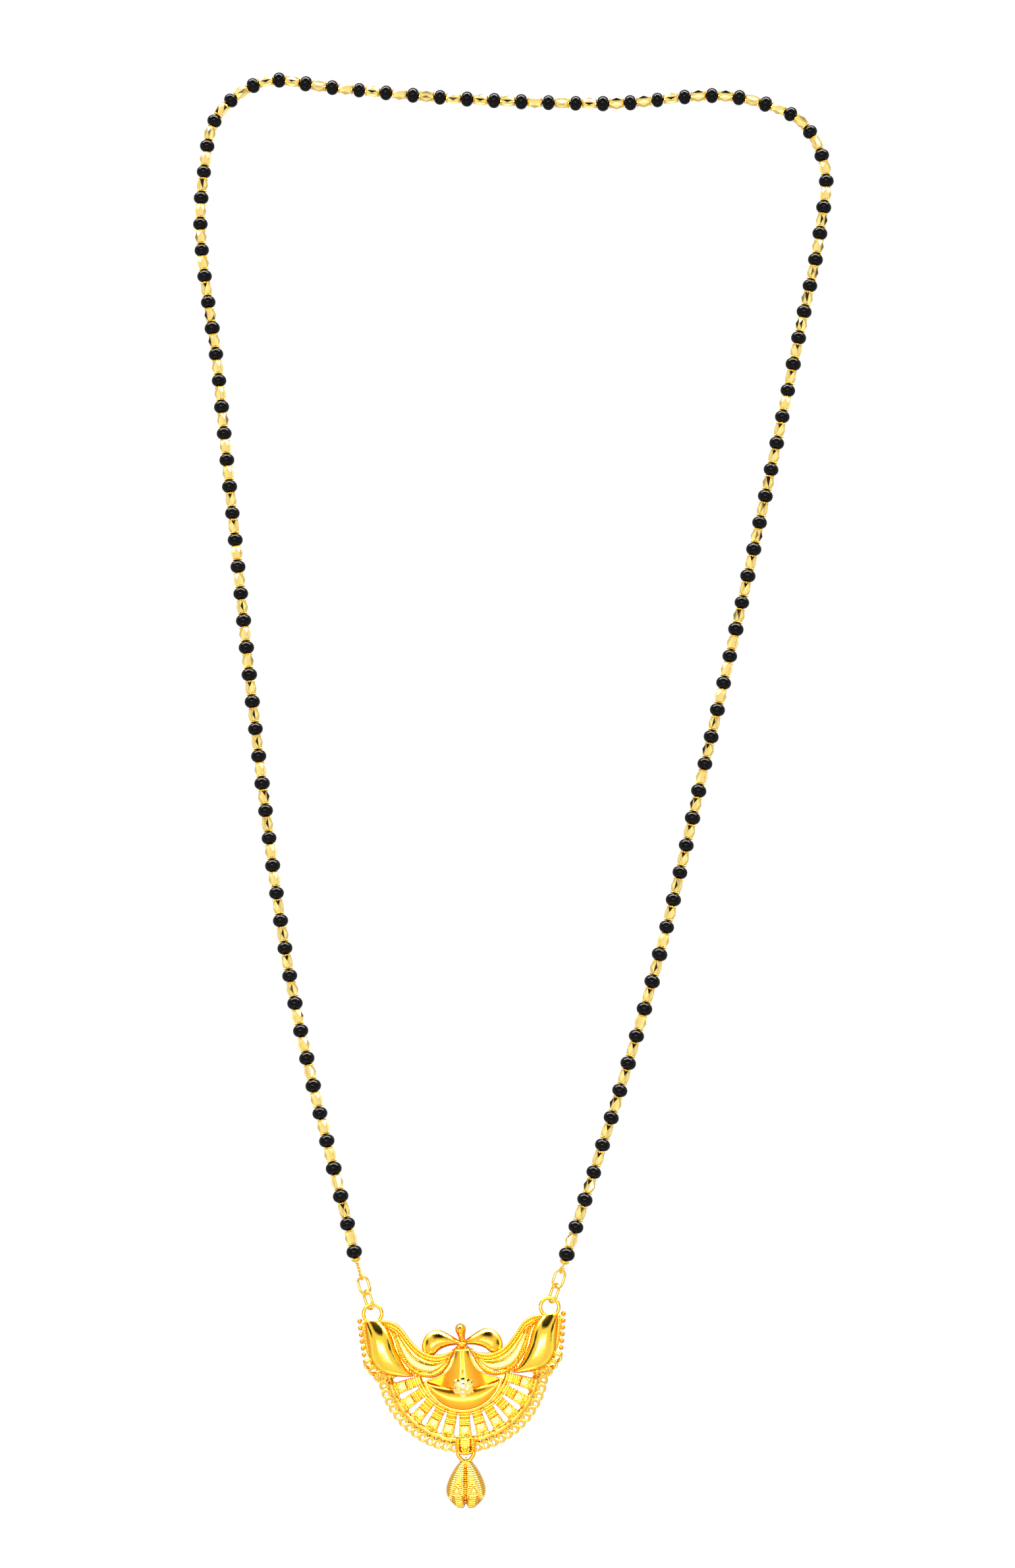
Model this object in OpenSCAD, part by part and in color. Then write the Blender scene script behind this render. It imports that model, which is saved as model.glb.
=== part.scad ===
// A mangalsutra laid flat: black glass beads and faceted gold beads in turn on one thread,
// two pairs of open links, and a pierced fan pendant with a ribbed drop on a ring.
// Y runs from the drop towards the nape, X to the right as it is looked down on, Z up. Millimetres.

/* [Glass beads] */
// Width of a black glass bead
bead_d = 3.3; // [2.9:0.05:3.6]
// Length of a black glass bead along the thread
bead_len = 2.6; // [2.2:0.05:2.8]

/* [Gold beads] */
// Width of a gold bead across the corners of its girdle
gold_d = 2.5; // [2.1:0.05:2.8]
// Length of a gold bead along the thread
gold_len = 2.35; // [2:0.05:2.7]
// Room left for the toothed spacer between two beads
spacer_len = 0.4; // [0.3:0.05:0.6]
// Width of the hole through every bead
bore_d = 0.9; // [0.8:0.05:1.1]
// Thickness of the thread
thread_d = 0.5; // [0.35:0.05:0.6]

/* [Links] */
// Outer length of the link that hangs in the pendant's ring
low_link_len = 4.3; // [4:0.05:4.8]
// Outer length of the link above it
high_link_len = 4.15; // [3.8:0.05:4.6]
// Outer width of the lower link
low_link_w = 3; // [2.8:0.05:3.2]
// Outer width of the upper link
high_link_w = 2.7; // [2.4:0.05:3.2]
// Thickness of the links' wire
link_wire = 0.55; // [0.45:0.05:0.65]
// Roll of the lower link about the chain's line, in degrees
low_link_roll = -55; // [-60:1:-50]
// Roll of the upper link about the chain's line, in degrees
high_link_roll = 28; // [15:1:40]

/* [Thread ends] */
// Width of the wire eye that closes the thread, to the middle of its wire
eye_d = 1.3; // [1.2:0.05:1.6]
// Thickness of the eye's wire
eye_wire = 0.4; // [0.3:0.05:0.45]
// Length of the twisted wire above the left eye
left_stem_len = 2.2; // [1:0.1:3]
// Length of the twisted wire above the right eye
right_stem_len = 0.3; // [0.2:0.1:2]
// Thickness of the twisted wire
stem_d = 0.75; // [0.6:0.05:0.9]
// Width of the cup under the last bead
cup_d = 1.9; // [1.5:0.05:2.2]
// Height of the cup under the last bead
cup_len = 0.45; // [0.3:0.05:0.7]

/* [Pendant] */
// Width of the pendant across its horns
span = 40.4; // [37:0.2:44]
// Height of the horns above the fan's centre
rise = 9.4; // [8:0.1:11]
// Radius of the pierced fan
fan_r = 15.3; // [14.8:0.1:16.5]
// Radius of the bowl in the middle of the fan
bowl_r = 8.9; // [8:0.1:9.4]
// Thickness of the pierced plate
plate_t = 1; // [0.7:0.05:1.4]
// Height of the highest dome above the pendant's back
relief = 3.1; // [2.6:0.01:3.8]
// Outer width of the two hanging rings
ring_d = 4.4; // [4:0.1:5]
// Thickness of the hanging rings' wire
ring_wire = 0.72; // [0.6:0.02:0.84]
// Height of the hanging rings' middle above the pendant's back
ring_z = 1.3; // [1.2:0.05:1.5]
// Distance of a hanging ring's middle in from the tip of its horn
ring_inset = 2.45; // [2.3:0.05:2.7]
// Distance of a hanging ring's middle beyond the tip of its horn
ring_up = 1.35; // [1.1:0.05:1.6]
// Width of the flower on the bowl
flower_d = 4; // [3.2:0.1:4.8]

/* [Piercing] */
// Width of a slot at the bowl
slot_in_w = 0.45; // [0.3:0.05:0.6]
// Width of a slot at the rim
slot_out_w = 1; // [0.8:0.05:1.2]
// Angle from one slot to the next, in degrees
slot_pitch = 14.5; // [13:0.1:15]
// Outer width of a border loop
loop_d = 1.95; // [1.8:0.05:2.1]
// Distance from one border loop to the next
loop_pitch = 1.62; // [1.5:0.02:1.75]
// Width of the hole in a border loop
loop_hole = 0.8; // [0.6:0.05:0.95]

/* [Bow] */
// Reach of each half of the bow from its knot
bow_reach = 7.6; // [6.8:0.1:8.2]
// Height of the bow's bulb above its knot
bulb_len = 4.2; // [3.4:0.1:4.8]
// Width of the bulb
bulb_d = 2.2; // [1.8:0.05:2.4]

/* [Drop] */
// Width of the drop
drop_w = 8.2; // [7.2:0.1:9.2]
// Height of the drop below the middle of the wire it hangs on
drop_h = 9.2; // [8.2:0.1:10.2]
// Thickness of the drop from back to front
drop_t = 3.6; // [3:0.1:4.4]
// Number of ribs across the drop
drop_ribs = 22; // [16:1:26]
// Width of the drop's ring to the middle of its wire
bail_d = 3.2; // [3:0.02:3.4]
// Thickness of the drop's ring
bail_wire = 0.7; // [0.5:0.02:0.72]
// Distance of the drop ring's middle below the rim of the fan
bail_out = 2.1; // [2:0.05:2.3]

/* [Hidden] */

// Clearance between wires that hang in each other
gap = 0.1;

// The string's way round the neck, from the left end to the right end, as it lies
ROUTE = [[-32, -99], [-45.5, -43], [-52, 0], [-57.5, 46], [-61.5, 82], [-65.5, 127], [-62.5, 141],
    [-53, 148], [-40, 146.5], [-19, 144], [20, 141.5], [51, 141.5], [60.5, 137], [65.5, 127],
    [64.5, 114], [60, 92], [50, 46], [40, 3], [29, -42], [16, -84], [11, -99]];
// Where the fan's centre lies, and how far the pendant leans, in degrees
FAN_AT = [-10.05, -121.4];
LEAN = 2;
// Points on the smooth route between two chosen points
ROUTE_STEPS = 10;

// Ring centres in the pendant's own frame
ring_x = span / 2 - ring_inset;
ring_y = rise + ring_up;
// Where the drop's ring turns round its post
bail_at = fan_r + bail_out;
// Middle of the string above the table
string_z = bead_d / 2;

function turned(p, a) = [p[0] * cos(a) - p[1] * sin(a), p[0] * sin(a) + p[1] * cos(a)];
function on_table(p, z) = concat(FAN_AT + turned(p, LEAN), z);
function unit(v) = v / norm(v);
function flat(p) = [p[0], p[1]];

// Places along the chain of links, counted from a hanging ring's centre
low_link_at = (ring_d - ring_wire) / 2 - (ring_wire + link_wire) / 2 - 2 * gap;
low_link_end = low_link_at + low_link_len - link_wire;
high_link_at = low_link_end - link_wire - gap;
high_link_end = high_link_at + high_link_len - link_wire;
eye_at = high_link_end - (link_wire + eye_wire) / 2 - gap;
function cup_at(stem) = eye_at + eye_d + eye_wire / 2 + stem;
function chain_len(stem) = cup_at(stem) + cup_len + gap;

// One chain line a side: from the ring's centre to where the thread starts
ring_left = on_table([-ring_x, ring_y], ring_z);
ring_right = on_table([ring_x, ring_y], ring_z);
function chain_end(ring, aim, len) = let (to = unit(aim - flat(ring)), rise_by = string_z - ring_z)
    concat(flat(ring) + to * sqrt(len * len - rise_by * rise_by), string_z);
start_left = chain_end(ring_left, ROUTE[0], chain_len(left_stem_len));
start_right = chain_end(ring_right, ROUTE[len(ROUTE) - 1], chain_len(right_stem_len));

// The chosen points that lie beyond the two starts, joined by a smooth curve
MARKS = concat([flat(start_left)], [for (i = [1:len(ROUTE) - 2]) ROUTE[i]], [flat(start_right)]);
function slope(p, i) = i == 0 ? (p[1] - p[0]) / norm(p[1] - p[0])
    : i == len(p) - 1 ? (p[i] - p[i - 1]) / norm(p[i] - p[i - 1])
    : let (a = norm(p[i] - p[i - 1]), b = norm(p[i + 1] - p[i]))
        ((p[i + 1] - p[i]) * a / b + (p[i] - p[i - 1]) * b / a) / (a + b);
function eased(p, i, t) = let (h = norm(p[i + 1] - p[i]))
    p[i] * (2 * t * t * t - 3 * t * t + 1) + slope(p, i) * h * (t * t * t - 2 * t * t + t)
    + p[i + 1] * (3 * t * t - 2 * t * t * t) + slope(p, i + 1) * h * (t * t * t - t * t);
path = [for (i = [0:len(MARKS) - 2]) for (k = [0:ROUTE_STEPS - 1]) eased(MARKS, i, k / ROUTE_STEPS),
    MARKS[len(MARKS) - 1]];
reach = [for (i = 0, s = 0; i < len(path);
    i = i + 1, s = i < len(path) ? s + norm(path[i] - path[i - 1]) : s) s];
path_x = [for (i = [0:len(path) - 1]) [reach[i], path[i][0]]];
path_y = [for (i = [0:len(path) - 1]) [reach[i], path[i][1]]];
function along(s) = [lookup(s, path_x), lookup(s, path_y)];

// The string is cut into cells, one a bead, that share out what length is left over
glass_cell = bead_len + spacer_len;
gold_cell = gold_len + spacer_len;
string_len = reach[len(reach) - 1];
gold_count = floor((string_len - glass_cell) / (glass_cell + gold_cell));
cells = 2 * gold_count + 1;
ease = string_len / ((gold_count + 1) * glass_cell + gold_count * gold_cell);
joints = [for (k = [0:cells]) along(ease * (ceil(k / 2) * glass_cell + floor(k / 2) * gold_cell))];

// Everything is drawn round the middle of the part's own box
drop_at = flat(on_table([0, -bail_at - bail_d / 2], 0));
drop_low = drop_at[1] - drop_h;
xs = [for (p = path) p[0]];
ys = [for (p = path) p[1]];
MIDDLE = [(min(xs) + max(xs)) / 2, (drop_low + max(ys) + bead_d / 2) / 2];

module placed() { translate([-MIDDLE[0], -MIDDLE[1], 0]) children(); }
module on_pendant() { translate([FAN_AT[0], FAN_AT[1], 0]) rotate(LEAN) children(); }
module both_sides() { children(); mirror([1, 0, 0]) children(); }

// Lays a child whose own axis is X along the line from one point to another
module aimed(from, to) {
    v = to - from;
    translate(from) rotate([0, -atan2(v[2], norm(flat(v))), atan2(v[1], v[0])]) children();
}

// Puts a child whose own axis is Z on the string's cell k
module strung(k) {
    mid = (joints[k] + joints[k + 1]) / 2;
    dir = joints[k + 1] - joints[k];
    translate([mid[0], mid[1], string_z]) rotate([0, 90, atan2(dir[1], dir[0])]) children();
}

// A squat ring whose outside is cut into eight steps of a half circle
module glass_bead() {
    hub = (bead_d - bead_len) / 2;
    turn = acos((bore_d / 2 - hub) / (bead_len / 2));
    rotate_extrude($fn = 48) polygon([for (k = [-4:4])
        [hub + bead_len / 2 * cos(turn * k / 4), bead_len / 2 * sin(turn * k / 4)]]);
}

// Six upright rhombs round the girdle, with a triangle above and below each gap between them
module gold_bead() {
    corner = gold_d / 2;
    face = corner * cos(30);
    edge = face * cos(30);
    peak = gold_len / 2 * corner / (corner - edge);
    difference() {
        intersection() {
            rotate(30) cylinder(r = corner, h = gold_len, center = true, $fn = 6);
            intersection_for (a = [30, 90, 150]) rotate([90, 0, a])
                linear_extrude(2 * gold_d, center = true)
                polygon([[corner, 0], [0, peak], [-corner, 0], [0, -peak]]);
        }
        cylinder(d = bore_d, h = 2 * gold_len, center = true, $fn = 24);
    }
}

module glass_beads() {
    color("black") placed() for (k = [0:2:cells - 1]) strung(k) glass_bead();
}

module gold_beads() {
    color("gold") placed() for (k = [1:2:cells - 2]) strung(k) gold_bead();
}

// A tube with a ring of corners where one bead gives way to the next
module thread() {
    sides = 5;
    last = len(joints) - 1;
    points = [for (i = [0:last])
        let (d = unit(joints[min(i + 1, last)] - joints[max(i - 1, 0)]), n = [-d[1], d[0]])
        for (k = [0:sides - 1]) let (a = 360 * k / sides)
        [each joints[i] + n * cos(a) * thread_d / 2, string_z + sin(a) * thread_d / 2]];
    walls = [for (i = [0:last - 1]) for (k = [0:sides - 1]) let (m = (k + 1) % sides)
        [i * sides + m, i * sides + k, (i + 1) * sides + k, (i + 1) * sides + m]];
    caps = [[for (k = [0:sides - 1]) k], [for (k = [0:sides - 1]) (last + 1) * sides - 1 - k]];
    color("dimgray") placed() polyhedron(points, concat(walls, caps));
}

// An open link with round ends, its first wire's middle at the origin and its length along X
module link(len, width) {
    r = (width - link_wire) / 2;
    straight = len - width;
    translate([r, 0, 0]) {
        rotate(90) half_round(r);
        translate([straight, 0, 0]) rotate(-90) half_round(r);
        for (side = [-1, 1]) translate([0, side * r, 0]) rotate([0, 90, 0])
            cylinder(d = link_wire, h = straight, $fn = 32);
    }
}

module half_round(r) {
    rotate_extrude(angle = 180, $fn = 48) translate([r, 0]) circle(d = link_wire, $fn = 32);
}

module low_link(ring, start) {
    color("gold") placed() aimed(ring, start) translate([low_link_at, 0, 0])
        rotate([low_link_roll, 0, 0]) link(low_link_len, low_link_w);
}

module high_link(ring, start) {
    color("gold") placed() aimed(ring, start) translate([high_link_at, 0, 0])
        rotate([high_link_roll, 0, 0]) link(high_link_len, high_link_w);
}

module low_link_left() { low_link(ring_left, start_left); }
module high_link_left() { high_link(ring_left, start_left); }
module low_link_right() { low_link(ring_right, start_right); }
module high_link_right() { high_link(ring_right, start_right); }

// A wire eye, its twisted stem and the cup that stops the last bead
module thread_end(ring, start, stem) {
    color("gold") placed() aimed(ring, start) {
        translate([eye_at + eye_d / 2, 0, 0]) rotate([high_link_roll - 90, 0, 0])
            rotate_extrude($fn = 48) translate([eye_d / 2, 0]) circle(d = eye_wire, $fn = 24);
        translate([eye_at + eye_d, 0, 0]) rotate([0, 90, 0])
            cylinder(d = stem_d, h = eye_wire / 2 + stem, $fn = 32);
        translate([cup_at(stem), 0, 0]) rotate([0, 90, 0])
            cylinder(d1 = stem_d, d2 = cup_d, h = cup_len, $fn = 32);
    }
}

module end_left() { thread_end(ring_left, start_left, left_stem_len); }
module end_right() { thread_end(ring_right, start_right, right_stem_len); }

// Tables of the pendant's raised forms. A row is one section across the form:
// x of half the span, y of the rise, half width of half the span, side height and crown of the relief
PETAL = [[-0.872, 0.96, 0.03, 0.3, 0.5], [-0.843, 0.81, 0.072, 0.3, 0.75],
    [-0.808, 0.6, 0.09, 0.3, 0.92], [-0.782, 0.35, 0.101, 0.3, 1], [-0.745, 0.18, 0.1, 0.3, 1],
    [-0.69, 0.04, 0.086, 0.3, 0.95], [-0.61, -0.08, 0.057, 0.3, 0.8], [-0.5, -0.165, 0.016, 0.3, 0.5]];
CRESCENT = [[-0.65, 0.65, 0.014, 0.3, 0.5], [-0.607, 0.435, 0.036, 0.3, 0.6],
    [-0.545, 0.235, 0.044, 0.3, 0.66], [-0.46, 0.05, 0.048, 0.3, 0.66],
    [-0.345, -0.02, 0.042, 0.3, 0.62], [-0.25, 0.01, 0.028, 0.3, 0.58], [-0.178, 0.12, 0.012, 0.3, 0.5]];
UPPER_BAND = [[-0.8, 0.93, 0.022, 0.35, 0.62], [-0.7, 0.9, 0.036, 0.35, 0.75],
    [-0.6, 0.7, 0.045, 0.35, 0.78], [-0.49, 0.415, 0.046, 0.35, 0.78],
    [-0.363, 0.235, 0.046, 0.35, 0.78], [-0.233, 0.163, 0.04, 0.35, 0.75],
    [-0.11, 0.27, 0.024, 0.35, 0.7]];
LOWER_BAND = [[-0.76, 0.92, 0.018, 0.35, 0.7], [-0.713, 0.74, 0.028, 0.35, 0.8],
    [-0.674, 0.49, 0.03, 0.35, 0.85], [-0.638, 0.23, 0.034, 0.35, 0.85],
    [-0.564, 0.03, 0.036, 0.35, 0.85], [-0.46, -0.13, 0.036, 0.35, 0.85],
    [-0.37, -0.195, 0.036, 0.35, 0.85], [-0.285, -0.147, 0.036, 0.35, 0.85],
    [-0.198, -0.02, 0.032, 0.35, 0.85], [-0.14, 0.135, 0.026, 0.35, 0.8],
    [-0.1, 0.27, 0.02, 0.35, 0.7]];
// The bell's rows: y of the bowl's radius, half width of it, side height and crown of the relief
BELL = [[0.4, 0.12, 0.35, 0.6], [0.22, 0.17, 0.35, 0.66], [0.04, 0.21, 0.35, 0.7],
    [-0.1, 0.31, 0.35, 0.74], [-0.22, 0.5, 0.35, 0.8], [-0.36, 0.82, 0.35, 0.88],
    [-0.44, 0.8, 0.35, 0.92], [-0.56, 0.74, 0.32, 0.84], [-0.7, 0.63, 0.32, 0.72],
    [-0.84, 0.46, 0.32, 0.56], [-0.95, 0.22, 0.32, 0.4]];
// The bow's rows: x and y of its reach from the knot, half width of it, side height and crown
LOBE = [[0.02, 0.02, 0.06, 0.3, 0.5], [-0.25, 0.2, 0.085, 0.3, 0.62],
    [-0.46, 0.25, 0.14, 0.3, 0.74], [-0.68, 0.17, 0.19, 0.3, 0.82], [-0.79, 0.02, 0.2, 0.3, 0.82],
    [-0.81, -0.14, 0.17, 0.3, 0.78], [-0.78, -0.26, 0.08, 0.3, 0.6]];
// The border's way: angle from straight down and radius over the fan's own radius
BORDER = [[5.6, 0.96], [76, 0.9], [81, 1.05], [85, 1.85], [89, 2.7], [93, 3.6], [96.5, 4.3]];

function smooth(rows, n) = [for (i = [0:len(rows) - 2]) for (k = [0:n - 1])
    let (a = rows[max(i - 1, 0)], b = rows[i], c = rows[i + 1], d = rows[min(i + 2, len(rows) - 1)],
        t = k / n)
    (b * 2 + (c - a) * t + (a * 2 - b * 5 + c * 4 - d) * t * t
        + (b * 3 - a - c * 3 + d) * t * t * t) / 2, rows[len(rows) - 1]];
// Shares into millimetres
function sized(rows, x, y) = [for (r = rows)
    [r[0] * x, r[1] * y, r[2] * x, r[3] * relief, r[4] * relief]];
// Every other row is cut back, which leaves a rib on each row between
function ribbed(rows, depth) = [for (i = [0:len(rows) - 1])
    [rows[i][0], rows[i][1], rows[i][2], rows[i][3], rows[i][4] - (i % 2) * depth]];

// Raised forms start inside the plate
sunk = plate_t / 2;

// A raised form with a flat back, swept through rows of x, y, half width, side height and crown
module swept(rows, steps) {
    last = len(rows) - 1;
    size = steps + 3;
    points = [for (i = [0:last]) let (r = rows[i], a = rows[max(i - 1, 0)], b = rows[min(i + 1, last)],
            d = unit([b[0] - a[0], b[1] - a[1]]), n = [-d[1], d[0]], at = [r[0], r[1]])
        each concat(
            [[each at + n * r[2], sunk]],
            [for (j = [0:steps]) let (t = 180 * j / steps)
                [each at + n * r[2] * cos(t), r[3] + (r[4] - r[3]) * sin(t)]],
            [[each at - n * r[2], sunk]])];
    walls = [for (i = [0:last - 1]) for (k = [0:size - 1]) let (m = (k + 1) % size)
        [i * size + m, i * size + k, (i + 1) * size + k, (i + 1) * size + m]];
    caps = [[for (k = [0:size - 1]) k], [for (k = [0:size - 1]) (last + 1) * size - 1 - k]];
    polyhedron(points, concat(walls, caps));
}

function polar(angle, r) = [r * sin(angle), -r * cos(angle)];

// Places of the border loops, one a pitch along the border's way
border = [for (p = smooth(BORDER, 8)) polar(p[0], fan_r + p[1])];
border_reach = [for (i = 0, s = 0; i < len(border);
    i = i + 1, s = i < len(border) ? s + norm(border[i] - border[i - 1]) : s) s];
border_x = [for (i = [0:len(border) - 1]) [border_reach[i], border[i][0]]];
border_y = [for (i = [0:len(border) - 1]) [border_reach[i], border[i][1]]];
border_len = border_reach[len(border_reach) - 1];
loops = [for (s = [loop_pitch / 2:loop_pitch:border_len])
    [lookup(s, border_x), lookup(s, border_y)]];

slot_from = bowl_r + 1;
slot_to = fan_r - 1.1;

module slot(angle) {
    rotate(angle) polygon([[-slot_in_w / 2, -slot_from], [slot_in_w / 2, -slot_from],
        [slot_out_w / 2, -slot_to], [-slot_out_w / 2, -slot_to]]);
}

module border_loop(at) {
    translate(at) rotate(atan2(at[1], at[0])) circle(d = loop_d, $fn = 8);
}

// The flat plate: the fan, the horns behind the petals and the looped border
module plate() {
    linear_extrude(plate_t) difference() {
        union() {
            intersection() {
                circle(fan_r, $fn = 48);
                translate([-fan_r, -2 * fan_r]) square([2 * fan_r, 2 * fan_r - 0.16 * rise]);
            }
            both_sides() {
                polygon([for (p = [[-1, 1], [-0.97, 0.4], [-0.94, 0.05], [-0.84, -0.12],
                    [-0.66, -0.3], [-0.3, -0.3], [0.05, -0.2], [0.05, 0.2], [-0.2, 0.12],
                    [-0.42, 0.24], [-0.6, 0.6], [-0.72, 0.9], [-0.82, 1]]) [p[0] * span / 2, p[1] * rise]]);
                for (p = loops) border_loop(p);
            }
        }
        for (k = [0.5:1:5.5]) both_sides() slot(k * slot_pitch);
        both_sides() for (p = loops) translate(p) rotate(atan2(p[1], p[0])) circle(d = loop_hole, $fn = 6);
    }
}

module fan_ridge(r, w, h) {
    rotate(180) rotate_extrude(angle = 180, $fn = 48) translate([r - w / 2, 0]) square([w, h]);
}

// A raised heart, drawn as one half and its mirror image
heart_w = 1.2;
heart_r = 0.84 * fan_r;
module heart(size) {
    half = [[0.2, 0.46], [0.44, 0.3], [0.46, 0.06], [0.26, -0.26]];
    other = [for (i = [len(half) - 1:-1:0]) [-half[i][0], half[i][1]]];
    linear_extrude(plate_t + 0.35) polygon(size * concat([[0, 0.24]], half, [[0, -0.48]], other));
}

module fan() {
    difference() {
        union() {
            fan_ridge(bowl_r + 0.45, 0.7, plate_t + 0.8);
            fan_ridge(bowl_r + 1.9, 0.6, plate_t + 0.35);
            fan_ridge(fan_r - 0.55, 0.5, plate_t + 0.3);
        }
        translate([0, 0, -1]) linear_extrude(relief + 2)
            for (k = [0.5:1:5.5]) both_sides() slot(k * slot_pitch);
    }
    for (k = [-5:5]) rotate(k * slot_pitch) translate([0, -heart_r, 0]) heart(heart_w);
}

module petal() { swept(smooth(sized(PETAL, span / 2, rise), 2), 6); }
module crescent() { swept(smooth(sized(CRESCENT, span / 2, rise), 1), 3); }
module upper_band() { swept(ribbed(smooth(sized(UPPER_BAND, span / 2, rise), 6), 0.3), 2); }
module lower_band() { swept(ribbed(smooth(sized(LOWER_BAND, span / 2, rise), 4), 0.3), 2); }

module bell() {
    swept(smooth([for (r = BELL) [0, r[0] * bowl_r, r[1] * bowl_r, r[2] * relief, r[3] * relief]], 1), 8);
}

knot_y = 0.45 * bowl_r;

module bow() {
    translate([0, knot_y, 0]) {
        both_sides() swept(smooth(sized(LOBE, bow_reach, bow_reach), 2), 5);
        translate([0, 0, relief * 0.5]) scale([1, 1, 0.8]) sphere(d = 1.7, $fn = 8);
        hull() for (y = [0.3, bulb_len - bulb_d / 2]) translate([0, y, relief * 0.45])
            sphere(d = y < 1 ? bulb_d * 0.7 : bulb_d, $fn = 8);
    }
}

// Six petals round a seventh, raised on the bell
module flower() {
    for (k = [0:6]) rotate(60 * k + 30) translate([k == 6 ? 0 : 0.32 * flower_d, 0,
        relief * (k == 6 ? 0.98 : 0.86)])
        hull() for (z = [-0.4, 0]) translate([0, 0, z]) rotate(14 + 7 * k)
            sphere(d = 0.36 * flower_d, $fn = 6);
}

module hanging_ring() {
    translate([-ring_x, ring_y, ring_z]) rotate_extrude($fn = 28)
        translate([(ring_d - ring_wire) / 2, 0]) circle(d = ring_wire, $fn = 8);
}

// Small beads up the outside of each horn
module edge_beads() {
    for (k = [0:5]) let (t = k / 5) translate([-span / 2 * (0.955 + 0.055 * t), rise * (0.32 + 0.7 * t),
        plate_t * 0.72]) rotate(20) sphere(d = 1.1, $fn = 6);
}

bail_z = 1;
bail_slot = bail_wire + 2 * gap;
boss_w = 3.9;
boss_h = 2.4;
boss_y = [fan_r - 0.9, fan_r + 2];
post_r = 0.36;

post_y = -bail_at + bail_d / 2 - bail_wire / 2 - gap - post_r;

// Room for the drop's ring to turn in
module bail_room() {
    translate([0, -bail_at, bail_z]) cylinder(d = bail_d + bail_wire + 2 * gap, h = bail_slot,
        center = true, $fn = 32);
}

// A ridged boss at the foot of the fan, slotted for the ring and closed by a post
module boss() {
    hull() for (y = boss_y) translate([-boss_w / 2, -y, 0])
        cube([boss_w, 0.1, boss_h * (y == boss_y[0] ? 1 : 0.75)]);
    for (y = [boss_y[0] + 0.3:0.7:boss_y[1]]) translate([0, -y, boss_h * 0.85])
        rotate([0, 90, 0]) cylinder(d = 0.7, h = boss_w - 0.4, center = true, $fn = 6);
}

module post() {
    translate([0, post_y, 0.1]) cylinder(r = post_r, h = boss_h - 0.5, $fn = 12);
}

module pendant() {
    color("gold") placed() on_pendant() union() {
        difference() {
            union() {
                plate();
                boss();
            }
            bail_room();
        }
        post();
        fan();
        both_sides() {
            petal();
            crescent();
            upper_band();
            lower_band();
            hanging_ring();
            edge_beads();
        }
        bell();
        bow();
        translate([0, -0.44 * bowl_r, 0]) flower();
    }
}

module drop_ring() {
    color("gold") placed() on_pendant() translate([0, -bail_at, bail_z])
        rotate_extrude($fn = 48) translate([bail_d / 2, 0]) circle(d = bail_wire, $fn = 24);
}

// The drop's rows: share of its height from the top, half width and thickness as shares
DROP = [[0, 0.34, 0.5], [0.05, 0.44, 0.6], [0.12, 0.56, 0.7], [0.2, 0.675, 0.8], [0.3, 0.79, 0.88],
    [0.4, 0.89, 0.95], [0.55, 0.985, 1], [0.66, 1, 1], [0.75, 0.97, 0.96], [0.84, 0.91, 0.86],
    [0.92, 0.81, 0.72], [0.97, 0.7, 0.56], [1, 0.58, 0.4]];
// Across the drop: share of the half width, share of the thickness, share of the height given up
// to the notch between the two lobes at its foot
LOBES = [[-1, 0.3, 0.1], [-0.94, 0.52, 0.07], [-0.78, 0.8, 0.02], [-0.52, 1, 0], [-0.26, 0.92, 0.03],
    [-0.1, 0.72, 0.07], [0, 0.84, 0.09], [0.1, 0.72, 0.07], [0.26, 0.92, 0.03], [0.52, 1, 0],
    [0.78, 0.8, 0.02], [0.94, 0.52, 0.07], [1, 0.3, 0.1]];
drop_loop_d = 1.3;
drop_loop_wire = 0.36;
rib_depth = 0.22;

module drop_body() {
    wide = [for (r = DROP) [r[0], r[1] * drop_w / 2]];
    thick = [for (r = DROP) [r[0], r[2] * drop_t]];
    rows = 2 * drop_ribs;
    size = len(LOBES) + 2;
    points = [for (i = [0:rows]) let (v = i / rows, w = lookup(v, wide) - (i % 2) * rib_depth,
            t = lookup(v, thick) - (i % 2) * rib_depth)
        each concat(
            [[-w, -drop_h * v * (1 - LOBES[0][2] * v * v), 0]],
            [for (l = LOBES) [l[0] * w, -drop_h * v * (1 - l[2] * v * v), l[1] * t]],
            [[w, -drop_h * v * (1 - LOBES[0][2] * v * v), 0]])];
    walls = [for (i = [0:rows - 1]) for (k = [0:size - 1]) let (m = (k + 1) % size)
        [i * size + k, i * size + m, (i + 1) * size + m, (i + 1) * size + k]];
    caps = [[for (k = [0:size - 1]) size - 1 - k], [for (k = [0:size - 1]) rows * size + k]];
    polyhedron(points, concat(walls, caps));
}

module drop() {
    color("gold") placed() translate([drop_at[0], drop_at[1], 0]) {
        difference() {
            drop_body();
            rotate(LEAN) translate([0, bail_d / 2, bail_z]) rotate_extrude($fn = 32)
                translate([bail_d / 2, 0]) circle(d = bail_wire + 2.5 * gap, $fn = 10);
        }
        translate([0, 0, bail_z]) rotate([0, 90, 0]) rotate_extrude($fn = 16)
            translate([drop_loop_d / 2, 0]) circle(d = drop_loop_wire, $fn = 6);
        for (k = [2:11]) translate([0, -drop_h * k / 13, drop_t * 0.72]) hull()
            for (z = [-0.3, 0.1]) translate([0, 0, z]) sphere(d = 0.6, $fn = 6);
    }
}

pendant();
drop();
drop_ring();
low_link_left();
high_link_left();
low_link_right();
high_link_right();
end_left();
end_right();
glass_beads();
gold_beads();
thread();
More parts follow.
